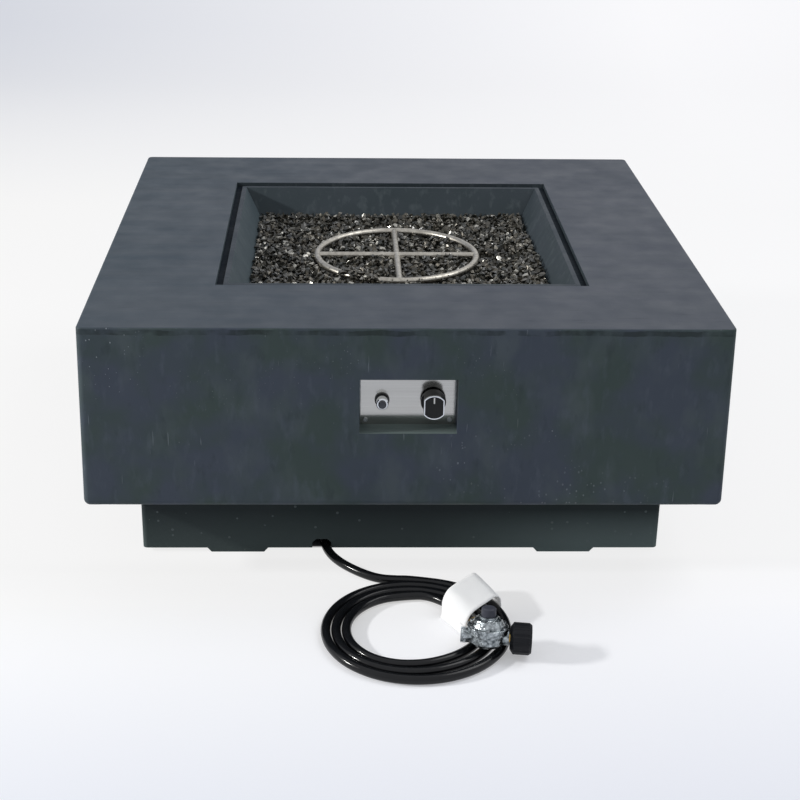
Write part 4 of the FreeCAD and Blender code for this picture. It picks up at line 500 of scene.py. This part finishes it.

# The top, its lip and groove, and the sill of the control opening. The top is darker towards the left. The
# lip and groove are coloured dark, a painted shade that is deepest on the left, and the sill light, a painted
# light.
streak = grain(tree, (0.35, 0.03, 0.2), 0.3, 0.7, detail=4.0)
dash = grain(tree, (0.06, 0.006, 0.1), 0.64, 0.72, offset=7.3)
cloud = grain(tree, 0.32, 0.3, 0.7, offset=2.1)
# Painted shade on the lip and in the groove, deepest on the left
painted_lip_shade = blend_colours(tree, lighter_to_right, shade(50, 57, 65), shade(60, 67, 74))
painted_groove_shade = blend_colours(tree, lighter_to_right, shade(28, 34, 42), shade(38, 45, 51))
lip, groove, sill = (
    maths(tree, "LESS_THAN", where[2], level) for level in (LIP_BELOW, GROOVE_BELOW, SILL_BELOW))
top_tone = blend_colours(tree, cloud, shade(58, 70, 80), shade(68, 77, 86))
top_tone = blend_colours(tree, lighter_to_right, top_tone, shade(76, 80, 90))
top_tone = tinted(tree, top_tone, streak, 0.45, shade(86, 91, 97))
top_tone = tinted(tree, top_tone, dash, 0.35, shade(52, 58, 67))
top_tone = blend_colours(tree, lip, top_tone, painted_lip_shade)
top_tone = blend_colours(tree, groove, top_tone, painted_groove_shade)
# Painted light: the sill is coloured far lighter than the concrete, so its shade hardly shows
top_tone = blend_colours(tree, sill, top_tone, shade(112, 126, 124))

# The marks of the sides: patches, haze, smudges, stains, scratches, and pits that crowd in one corner
mottle = grain(tree, 0.11, 0.4, 0.6, offset=3.7)
haze = grain(tree, (0.05, 0.05, 0.09), 0.5, 0.72, offset=11.0)
smudge = grain(tree, (0.014, 0.014, 0.04), 0.56, 0.76, offset=8.3, detail=4.0)
stain = grain(tree, (0.02, 0.02, 0.05), 0.6, 0.78, offset=2.6, detail=4.0)
scratch = grain(tree, (0.004, 0.004, 0.06), 0.74, 0.78, offset=1.4, detail=2.0)
bloom = grain(tree, 0.13, 0.54, 0.64, offset=9.4)
crowd = ramp(tree, where[0], -0.40, -0.45, high=0.9)
crowd = maths(tree, "MULTIPLY", crowd, ramp(tree, where[2], 0.28, 0.33))
crowd = maths(tree, "MULTIPLY", crowd, ramp(tree, where[1], -0.36, -0.48))
crowd = maths(tree, "MAXIMUM", crowd, maths(tree, "MULTIPLY", bloom, 0.35))
pits = effect(tree, specks_tree, Spacing=0.0055, Spot=0.27, Share=0.5, Stretch_Z=1.4)
pits = maths(tree, "MULTIPLY", pits, crowd)

# The ragged line just under the top edge
wander = grain(tree, (0.04, 0.04, 0.02), 0.3, 0.7, offset=9.0, detail=4.0, output="Level")
under_edge = maths(tree, "SUBTRACT", BLOCK_TOP - EDGE_ROUND, where[2])
line = maths(tree, "COMPARE", under_edge, maths(tree, "MULTIPLY", wander, LINE_WANDER))
line.node.inputs[2].default_value = LINE_HALF
line = maths(tree, "MULTIPLY", line, grain(tree, 0.03, 0.36, 0.58, offset=4.4))

side_tone = blend_colours(tree, mottle, shade(61, 74, 73), shade(66, 74, 86))
for mask, strength, colour in (
        (haze, 0.5, (84, 94, 98)), (smudge, 0.3, (92, 101, 114)), (stain, 0.5, (42, 50, 56)),
        (pits, 0.55, (188, 196, 204)), (scratch, 0.35, (140, 148, 156)), (line, 0.7, (30, 39, 38))):
    side_tone = tinted(tree, side_tone, mask, strength, shade(*colour))

# Painted shade and light: the walls of the bowl are coloured darker, apart from the left one, which faces the
# right-hand lamp and is coloured lighter
inside = maths(tree, "LESS_THAN", square_reach(tree, where), BOWL_REACH)
left_wall = maths(tree, "GREATER_THAN", facing[0], 0.5)
inner_tone = blend_colours(tree, mottle, shade(50, 59, 64), shade(54, 62, 68))
inner_tone = blend_colours(tree, left_wall, inner_tone, shade(74, 86, 92))
inner_tone = tinted(tree, inner_tone, smudge, 0.18, shade(120, 130, 134))
side_tone = blend_colours(tree, inside, side_tone, inner_tone)

upward = maths(tree, "GREATER_THAN", facing[2], 0.8)
tree.links.new(blend_colours(tree, upward, side_tone, top_tone), shader.inputs["Base Color"])
tree.links.new(between(tree, grain(tree, 0.05, 0.3, 0.7), 0.5, 0.68), shader.inputs["Roughness"])
dull = maths(tree, "MULTIPLY", maths(tree, "SUBTRACT", groove, sill), upward)
tree.links.new(between(tree, dull, 0.22, 0.02), shader.inputs["Specular IOR Level"])
height = maths(tree, "MULTIPLY", grain(tree, 0.004, 0.2, 0.8), 0.25)
for mask, lift in ((pits, -1.0), (line, -1.2), (grain(tree, (0.09, 0.03, 0.09), 0.2, 0.8), 0.8)):
    height = maths(tree, "ADD", height, maths(tree, "MULTIPLY", mask, lift))
bumps(tree, shader, height, 0.0004)
dress(concrete, "table_body")

# %% [markdown]
# The plinth is the same mix in a darker tint. It stands back under the block, so most of it is in shade.
# Its colour grows lighter along its foot, most of all on the right: a painted light.

# %% Plinth concrete
plinth_finish, tree, shader = new_finish("plinth_concrete", shade(46, 56, 57), 0.7, Specular_IOR_Level=0.2)
where = coordinates(tree, "ShaderNodeTexCoord", "Object")
# Painted light: the colour grows lighter towards the foot, most of all on the right
foot_light = ramp(tree, where[2], 0.004, 0.08, 0.75, 0.0)
foot_light_right = maths(tree, "MULTIPLY", ramp(tree, where[0], 0.05, 0.3, high=0.75), foot_light)
dust = effect(tree, specks_tree, Spacing=0.012, Spot=0.2, Share=0.25, Stretch_Z=1.0)
tone = blend_colours(tree, grain(tree, 0.12, 0.3, 0.7), shade(36, 46, 47), shade(44, 51, 54))
tone = blend_colours(tree, foot_light, tone, shade(92, 104, 104))
tone = blend_colours(tree, foot_light_right, tone, shade(142, 160, 160))
tone = tinted(tree, tone, dust, 0.35, shade(130, 140, 142))
tree.links.new(tone, shader.inputs["Base Color"])
bumps(tree, shader, grain(tree, 0.005, 0.2, 0.8), 0.0002)
dress(plinth_finish, "plinth")

# %% [markdown]
# ## Metals
# Each metal is told apart by its colour and by how its surface was worked. The control tray is brushed
# from side to side, so its grain is very long in x and fine in z. Zinc plate is cloudy. Castings are
# lumpy. The regulator's zinc is patched between a bright and a very dark tone, partly its cast skin and
# partly painted highlights and painted dark reflections.


# %% Metal finishes
def metal(name, colour, other, roughness, size, depth=0.00004, spread=0.12):
    """A metal whose colour and gloss drift between two values along a grain."""
    material, tree, shader = new_finish(name, colour, roughness, 1.0)
    mask = grain(tree, size, 0.3, 0.7, detail=4.0)
    tree.links.new(blend_colours(tree, mask, colour, other), shader.inputs["Base Color"])
    gloss = between(tree, mask, roughness - spread / 2, roughness + spread / 2)
    tree.links.new(gloss, shader.inputs["Roughness"])
    bumps(tree, shader, grain(tree, size, 0.2, 0.8, offset=3.0, detail=5.0), depth)
    return material


panel_steel = metal(
    "panel_steel", shade(190, 189, 185), shade(174, 173, 169), 0.15, (0.16, 0.002, 0.0006), 0.00001, 0.06)
stainless = metal("stainless", shade(190, 186, 176), shade(150, 146, 138), 0.34, 0.009)
zinc_steel = metal("zinc_steel", shade(176, 180, 182), shade(140, 145, 148), 0.38, 0.008)
brass = metal("brass", shade(206, 176, 108), shade(186, 152, 88), 0.3, 0.006)
valve_brass = metal("valve_brass", shade(196, 170, 110), shade(166, 140, 84), 0.42, 0.004, 0.0001)
aluminium_line = metal("aluminium_line", shade(200, 202, 204), shade(172, 175, 178), 0.3, 0.012)
copper_lead = metal("copper_lead", shade(190, 120, 84), shade(150, 90, 62), 0.34, 0.008)
spring_steel = metal("spring_steel", shade(150, 152, 155), shade(110, 112, 116), 0.28, 0.003)
bright_chrome = metal("bright_chrome", shade(226, 228, 230), shade(206, 209, 212), 0.08, 0.02, 0.00001, 0.05)
# Painted reflection: the push button's chrome is coloured dark grey, as if it mirrored a dark room
dark_reflection_chrome = metal("dark_reflection_chrome", shade(74, 76, 80), shade(56, 58, 62), 0.12, 0.01, 0.00001, 0.05)
# Painted highlights and reflections: the regulator's zinc is patched between a bright and a very dark tone
regulator_zinc = metal("regulator_zinc", shade(196, 203, 206), shade(52, 61, 66), 0.24, 0.0065, 0.0012, 0.2)
dress(panel_steel, "control_panel")
dress(
    stainless, "ring_burner", "burner_pan", "electrode_rod", "thermocouple", "air_mixer", "riser_nut",
    "burner_riser")
dress(
    zinc_steel, "angle_bolts", "bonnet_screws", "cross_rails", "long_rails", "mounting_plate", "panel_screws",
    "plate_screws", "plinth_bolts", "rail_angles", "stem_washer", "igniter_nut", "regulator_screws")
dress(
    brass, "end_ferrule", "hose_ferrule", "hose_nut", "line_nuts", "orifice_elbow", "safety_magnet",
    "tank_nipple")
dress(valve_brass, "valve_body", "valve_bonnet", "valve_plug", "valve_stem")
dress(aluminium_line, "burner_line")
dress(spring_steel, "stem_spring", "igniter_spring")
dress(bright_chrome, "knob_rim", "igniter_bezel")
dress(dark_reflection_chrome, "igniter_button")
dress(regulator_zinc, "regulator_body", "regulator_cover", "regulator_plug")

# %% [markdown]
# ## Plastics, rubber and ceramic
# The knob, the button's collar, the caps and the nut are moulded plastic. Moulded black plastic is never
# quite black, and a very fine texture breaks up its gloss. The hose is smooth rubber with long thin
# highlights, so it keeps a low roughness.


# %% Moulded finishes
def moulded(name, colour, roughness, size=0.0012, depth=0.00004, lift=8, gleam=0.5):
    """A plastic or rubber with a fine texture and a slight drift in tone."""
    lighter = tuple(v + lift / 255 * 0.2 for v in colour)
    tone_size, gloss_size = 0.03, 0.01
    material, tree, shader = new_finish(name, colour, roughness, Specular_IOR_Level=gleam)
    tone = blend_colours(tree, grain(tree, tone_size, 0.3, 0.7), colour, lighter)
    tree.links.new(tone, shader.inputs["Base Color"])
    gloss = between(tree, grain(tree, gloss_size, 0.3, 0.7), roughness - 0.05, roughness + 0.07)
    tree.links.new(gloss, shader.inputs["Roughness"])
    bumps(tree, shader, grain(tree, size, 0.2, 0.8), depth)
    return material


knob_plastic = moulded("knob_plastic", shade(20, 21, 22), 0.35, gleam=0.22)
igniter_plastic = moulded("igniter_plastic", shade(30, 31, 33), 0.32)
lead_plastic = moulded("lead_plastic", shade(30, 30, 32), 0.45)
cap_plastic = moulded("cap_plastic", shade(62, 64, 74), 0.5, gleam=0.3)
nut_plastic = moulded("nut_plastic", shade(16, 18, 23), 0.5, 0.0016, 0.00008, 5, 0.2)
pointer_white = moulded("pointer_white", shade(226, 226, 224), 0.5)
white_ceramic = moulded("white_ceramic", shade(228, 224, 214), 0.25)
hose_rubber = moulded("hose_rubber", shade(16, 17, 20), 0.16, 0.004, 0.00002, 3, 0.3)
dress(knob_plastic, "knob")
dress(pointer_white, "knob_pointer")
dress(igniter_plastic, "igniter_body", "igniter_ring")
dress(cap_plastic, "regulator_cap")
dress(nut_plastic, "coupling_nut")
dress(white_ceramic, "electrode_insulator")
for piece in (hose, hidden_hose):
    piece.data.materials.append(hose_rubber)

# %% [markdown]
# ## Leads below the pan
# Two thin leads run under the bowl: a black one from the push button to the spark electrode, and a copper
# one from the valve's magnet to the flame sensor. They are smooth splines like the hose.

# %% Leads
SPARK_ROUTE = [
    (-0.043, -0.4046, 0.298),
    (-0.043, -0.3824, 0.298),
    (-0.046, -0.3451, 0.2901),
    (-0.052, -0.3001, 0.2683),
    (-0.0602, -0.2501, 0.2459),
    (-0.0679, -0.2001, 0.234),
    (-0.077, -0.15, 0.232),
    (-0.0851, -0.108, 0.2399),
    (-0.086, -0.088, 0.264),
    (-0.086, -0.088, 0.2928),
]
SENSOR_ROUTE = [
    (0.044, -0.4132, 0.249),
    (0.044, -0.4132, 0.232),
    (0.04, -0.3999, 0.214),
    (0.028, -0.362, 0.206),
    (0.008, -0.3161, 0.204),
    (-0.014, -0.2681, 0.206),
    (-0.034, -0.2181, 0.212),
    (-0.05, -0.17, 0.222),
    (-0.062, -0.128, 0.236),
    (-0.068, -0.097, 0.262),
    (-0.068, -0.097, 0.2928),
]
for name, points, radius, node, finish, slot in (
        ("spark_lead", SPARK_ROUTE, 0.002, "ignition_lead", lead_plastic, "lead_plastic"),
        ("sensor_lead", SENSOR_ROUTE, 0.0015, "thermocouple_lead", copper_lead, "copper_lead")):
    lead = spline_curve(name, [Vector(point) for point in points], radius)
    lead.data.materials.append(finish)
    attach(lead, "table")
    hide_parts(node)
print("leads:", len(SPARK_ROUTE), len(SENSOR_ROUTE), "points")

# %% [markdown]
# ## Fire glass
# The bed is tempered black glass, broken into crumbs of about a centimetre. Each crumb has a few flat,
# mirror-like faces, so the bed glitters white in places and stays nearly black in others. A bumpy plane
# would look like gravel. Real separate crumbs cost little: a dozen shapes, each the hull of a few random
# points, are copied a few thousand times with their own size and turn. They lie in two loose layers, leave
# room for the burner, and climb a little up the walls. A few more lie over the ring at its front left, as
# in the photograph. A dark slab below them hides the gaps.

# %% Glass crumbs
GLASS_FOOT = 0.3145
GLASS_LEVEL = 0.3768
HEAP = 0.005
HEAP_START = 0.2269
MOUND = 0.005
MOUND_PITCH = 0.062
MOUND_HALVES = (0.0154, 0.020)
SLOPE_RUN = 0.0087
DRIFT = 0.010
COLLAR, COLLAR_REACH = 0.0045, 0.010
BANK, BANK_REACH = 0.009, 0.018
WALL_FOOT, WALL_HALF, WALL_SLOPE, WALL_GAP = 0.3528, 0.2475, 0.557, 0.0008
RING_MIDDLE = (0.002, 0.0)
RING_RADIUS = 0.1462
RING_TUBE = 0.0064
CROSS_TUBE = 0.0058
RING_HEIGHT = 0.3813
HUB_REACH = 0.018
PROBES = ((-0.086, -0.088), (-0.068, -0.097))
PROBE_REACH = 0.004
dice = random.Random(41)


def crumb_shape():
    """One broken crumb, about one unit across: the hull of a few random points."""
    mesh = bmesh.new()
    for _ in range(9):
        way = Vector((dice.gauss(0, 1), dice.gauss(0, 1), dice.gauss(0, 1))).normalized()
        mesh.verts.new(Vector((way.x * 0.5, way.y * 0.42, way.z * 0.34)) * dice.uniform(0.86, 1.1))
    result = bmesh.ops.convex_hull(mesh, input=mesh.verts)
    loose = [item for item in result["geom_interior"] if isinstance(item, bmesh.types.BMVert)]
    bmesh.ops.delete(mesh, geom=loose, context="VERTS")
    mesh.verts.index_update()
    points = [vert.co.copy() for vert in mesh.verts]
    faces = [tuple(vert.index for vert in face.verts) for face in mesh.faces]
    mesh.free()
    return points, faces


def metal_at(x, y):
    """How far a spot is from the burner's tubes, seen from above, less than nothing inside them."""
    dx, dy = x - RING_MIDDLE[0], y - RING_MIDDLE[1]
    reach = math.hypot(dx, dy)
    gap = abs(reach - RING_RADIUS) - RING_TUBE
    if reach < RING_RADIUS:
        gap = min(gap, abs(dx) - CROSS_TUBE, abs(dy) - CROSS_TUBE)
    gap = min(gap, reach - HUB_REACH)
    for px, py in PROBES:
        gap = min(gap, math.hypot(x - px, y - py) - PROBE_REACH)
    return gap


def wall_half(level):
    """Half the width of the bowl at a height."""
    return WALL_HALF + (level - WALL_FOOT) * WALL_SLOPE - WALL_GAP


def part_way(value):
    """The value, but never under none or over one."""
    return max(0.0, min(1.0, value))


def bed_height(x, y):
    """The height of the bed's surface: level, with low mounds, and heaped along the walls and the burner."""
    heap = HEAP * part_way((max(abs(x), abs(y)) - HEAP_START) / SLOPE_RUN)
    mound = 0.0
    for row in range(-5, 6, 2):
        for column in range(-5, 6, 2):
            half = MOUND_HALVES[1] if (row + column) % 4 else MOUND_HALVES[0]
            away = max(abs(x - column * MOUND_PITCH / 2), abs(y - row * MOUND_PITCH / 2))
            mound = max(mound, MOUND * part_way((half - away) / SLOPE_RUN))
    drift = DRIFT * part_way((x - 0.215) / 0.045) * part_way((0.15 - y) / 0.3)
    collar = COLLAR * math.exp(-max(0.0, metal_at(x, y)) / COLLAR_REACH)
    if abs(x - RING_MIDDLE[0]) < RING_RADIUS and y < RING_MIDDLE[1]:
        collar += BANK * math.exp(-(RING_MIDDLE[1] - y) / BANK_REACH)
    return GLASS_LEVEL + max(heap, mound) + drift + collar + 0.0015 * noise.noise(Vector((x * 35, y * 35, 0)))


shapes = [crumb_shape() for _ in range(12)]
corners, faces = [], []
SPACING = 0.0083
STRAY = 0.45
LAYER_DEPTHS = (0.0058, 0.0012)
UPPER_SHARE = 0.6
GLASS_HALF = wall_half(GLASS_LEVEL + HEAP)
count = round(2 * GLASS_HALF / SPACING)
for layer, depth in enumerate(LAYER_DEPTHS):
    for row in range(count):
        for column in range(count):
            size = dice.uniform(0.0085, 0.016)
            x = -GLASS_HALF + (column + 0.5 + dice.uniform(-STRAY, STRAY)) * SPACING
            y = -GLASS_HALF + (row + 0.5 + dice.uniform(-STRAY, STRAY)) * SPACING
            if layer == 1 and dice.random() > UPPER_SHARE:
                continue
            level = bed_height(x, y) - depth
            room = wall_half(level) - size * 0.42
            x, y = max(-room, min(room, x)), max(-room, min(room, y))
            gap = metal_at(x, y)
            if gap < size * 0.32:
                if layer == 1 or gap < 0:
                    continue
                level -= 0.0015
            points, sides = dice.choice(shapes)
            turn_by = Matrix.Rotation(dice.uniform(0, 6.283), 3, Vector(
                (dice.gauss(0, 1), dice.gauss(0, 1), dice.gauss(0, 1))).normalized())
            first = len(corners)
            for point in points:
                corners.append(turn_by @ point * size + Vector((x, y, level)))
            faces += [tuple(first + number for number in side) for side in sides]
COVERING = 40
for _ in range(COVERING):
    points, sides = dice.choice(shapes)
    size, turn = dice.uniform(0.010, 0.015), math.radians(dice.uniform(-135, -105))
    away = dice.uniform(-0.004, 0.013)
    spot = Vector((math.cos(turn), math.sin(turn), 0)) * (RING_RADIUS + away)
    spot += Vector((*RING_MIDDLE, RING_HEIGHT + RING_TUBE + size * 0.2 - max(0.0, away) * 0.4))
    first = len(corners)
    corners += [spot + point * size for point in points]
    faces += [tuple(first + number for number in side) for side in sides]
glass_mesh = bpy.data.meshes.new("fire_glass_crumbs")
glass_mesh.from_pydata(corners, [], faces)
crumbs = bpy.data.objects.new("fire_glass_crumbs", glass_mesh)
bpy.context.scene.collection.objects.link(crumbs)
print("crumb corners and faces:", len(corners), len(faces))

# %% Dark slab below the crumbs
slab_mesh = bmesh.new()
CELLS = 48
SLAB_SHARE, FOOT_INSET = 0.985, 0.012
rows = []
for row in range(CELLS + 1):
    rows.append([])
    for column in range(CELLS + 1):
        x = GLASS_HALF * (2 * column / CELLS - 1)
        y = GLASS_HALF * (2 * row / CELLS - 1)
        sink = 0.008 if metal_at(x, y) > 0.004 else 0.012
        rows[-1].append(slab_mesh.verts.new((x * SLAB_SHARE, y * SLAB_SHARE, bed_height(x, y) - sink)))
for row in range(CELLS):
    for column in range(CELLS):
        near, far = rows[row], rows[row + 1]
        slab_mesh.faces.new((near[column], near[column + 1], far[column + 1], far[column]))
rim = rows[0][:-1] + [line[-1] for line in rows[:-1]] + rows[-1][:0:-1] + [line[0] for line in rows[:0:-1]]
share = (GLASS_HALF - FOOT_INSET) / GLASS_HALF
feet = []
for vert in rim:
    feet.append(slab_mesh.verts.new((vert.co.x * share, vert.co.y * share, GLASS_FOOT)))
for number in range(len(rim)):
    after = (number + 1) % len(rim)
    slab_mesh.faces.new((rim[number], feet[number], feet[after], rim[after]))
slab_mesh.faces.new(feet[::-1])
slab_data = bpy.data.meshes.new("fire_glass_bed")
slab_mesh.to_mesh(slab_data)
slab_mesh.free()
slab = bpy.data.objects.new("fire_glass_bed", slab_data)
bpy.context.scene.collection.objects.link(slab)
for piece in (crumbs, slab):
    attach(piece, "table")
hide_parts("fire_glass")

# %% [markdown]
# Black fire glass is coated, so some crumbs mirror the sky like metal and others stay dark. The crumbs are
# separate islands in one mesh, and each island has its own random number, which sets its gloss and tone.

# %% Glass finish
glass_finish, tree, shader = new_finish("fire_glass", shade(40, 42, 38), 0.14, Specular_IOR_Level=0.7)
form = tree.nodes.new("ShaderNodeNewGeometry")
luck = form.outputs["Random Per Island"]
tone = blend_colours(tree, luck, shade(30, 34, 31), shade(92, 87, 77))
# Painted glints: one crumb in ten is coloured pale grey
glint_crumb = maths(tree, "GREATER_THAN", luck, 0.9)
tone = blend_colours(tree, glint_crumb, tone, shade(170, 168, 160))
patch = grain(tree, 0.035, 0.5, 0.66, offset=6.1)
tone = tinted(tree, tone, patch, 0.6, shade(16, 20, 16))
tree.links.new(tone, shader.inputs["Base Color"])
mirror = maths(tree, "GREATER_THAN", luck, 0.45)
tree.links.new(between(tree, mirror, 0.0, 0.5), shader.inputs["Metallic"])
tree.links.new(between(tree, grain(tree, 0.006, 0.3, 0.7), 0.16, 0.4), shader.inputs["Roughness"])
bumps(tree, shader, grain(tree, 0.004, 0.2, 0.8), 0.00015)
crumbs.data.materials.append(glass_finish)
# Painted shade: the slab is coloured darker than the crumbs, so the gaps between them look deep and shaded
shaded_glass_finish, tree, shader = new_finish("glass_in_shade", shade(16, 19, 17), 0.3)
tone = blend_colours(tree, grain(tree, 0.008, 0.35, 0.6), shade(18, 21, 18), shade(50, 50, 44))
tree.links.new(tone, shader.inputs["Base Color"])
bumps(tree, shader, grain(tree, 0.006, 0.3, 0.7), 0.002)
slab.data.materials.append(shaded_glass_finish)
print("fire glass ready")

# %% [markdown]
# ## Foam wrap
# A piece of thin white packing foam is folded over the coil where the regulator lies. It stands like a low
# tunnel, and both of its long edges turn outwards where they meet the ground. The sheet is a grid that
# follows that outline across and runs straight along, with a few soft waves, and a Solidify modifier
# gives it its thickness.

# %% Foam wrap
WRAP_FOOT = Vector((0.0558, -0.6405, 0))
WRAP_SLANT = math.radians(50)
WRAP_HEADING = math.radians(-61)
WRAP_WIDTH, WRAP_LENGTH, WRAP_HEIGHT, WRAP_CORNER, FOAM = 0.09735, 0.066, 0.044, 0.023, 0.0018
FOOT_TOP = 0.008
WAVE, DROOP, SAG, SAG_ABOVE = 0.0008, 0.008, 0.0015, 0.02
across = Vector((math.cos(WRAP_SLANT), math.sin(WRAP_SLANT), 0))
along = Vector((math.cos(WRAP_HEADING), math.sin(WRAP_HEADING), 0))
half, high, bend = WRAP_WIDTH / 2 - FOAM / 2, WRAP_HEIGHT - FOAM / 2, WRAP_CORNER - FOAM / 2
left = [(-half - 0.0045, 0.0012), (-half - 0.0022, 0.0016), (-half - 0.0006, 0.0035), (-half, FOOT_TOP)]
left += [(-half, FOOT_TOP + (high - bend - FOOT_TOP) * step / 3) for step in range(1, 3)]
for step in range(9):
    angle = math.pi - math.pi / 2 * step / 8
    left.append((-half + bend + bend * math.cos(angle), high - bend + bend * math.sin(angle)))
flat_top = [(-half + bend + (2 * half - 2 * bend) * step / 6, high) for step in range(1, 6)]
outline = left + flat_top + [(-side_way, level) for side_way, level in reversed(left)]
middle = WRAP_FOOT + across * WRAP_WIDTH / 2
wrap_mesh = bmesh.new()
STEPS = 14
grid = []
for step in range(STEPS + 1):
    share = step / STEPS
    line = []
    for number, (side_way, level) in enumerate(outline):
        wave = WAVE * noise.noise(Vector((number * 0.35, share * 3, 1)))
        sag = SAG * math.sin(math.pi * number / (len(outline) - 1)) * math.sin(math.pi * share)
        lower = DROOP * share ** 2 + sag
        place = middle + across * (side_way + wave) + along * (share * WRAP_LENGTH)
        place.z = max(0.001, level + (wave - lower if level > SAG_ABOVE else 0))
        line.append(wrap_mesh.verts.new(place))
    grid.append(line)
for step in range(STEPS):
    for number in range(len(outline) - 1):
        near, far = grid[step], grid[step + 1]
        wrap_mesh.faces.new((near[number], far[number], far[number + 1], near[number + 1]))
for face in wrap_mesh.faces:
    face.smooth = True
wrap_data = bpy.data.meshes.new("foam_wrap")
wrap_mesh.to_mesh(wrap_data)
wrap_mesh.free()
wrap = bpy.data.objects.new("foam_wrap", wrap_data)
bpy.context.scene.collection.objects.link(wrap)
thick = wrap.modifiers.new("thickness", "SOLIDIFY")
thick.thickness = FOAM
thick.offset = 0
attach(wrap, "table")
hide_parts("hose_wrap")
# Painted light: the foam glows a little, as if light shone through it
glowing_foam_finish, tree, shader = new_finish(
    "wrap_foam", shade(246, 247, 248), 0.85, Specular_IOR_Level=0.2,
    Emission_Color=(1, 1, 1, 1), Emission_Strength=0.12)
tone = blend_colours(tree, grain(tree, 0.02, 0.3, 0.7), shade(247, 248, 249), shade(253, 253, 253))
tree.links.new(tone, shader.inputs["Base Color"])
bumps(tree, shader, grain(tree, 0.0016, 0.2, 0.8), 0.0002)
wrap.data.materials.append(glowing_foam_finish)
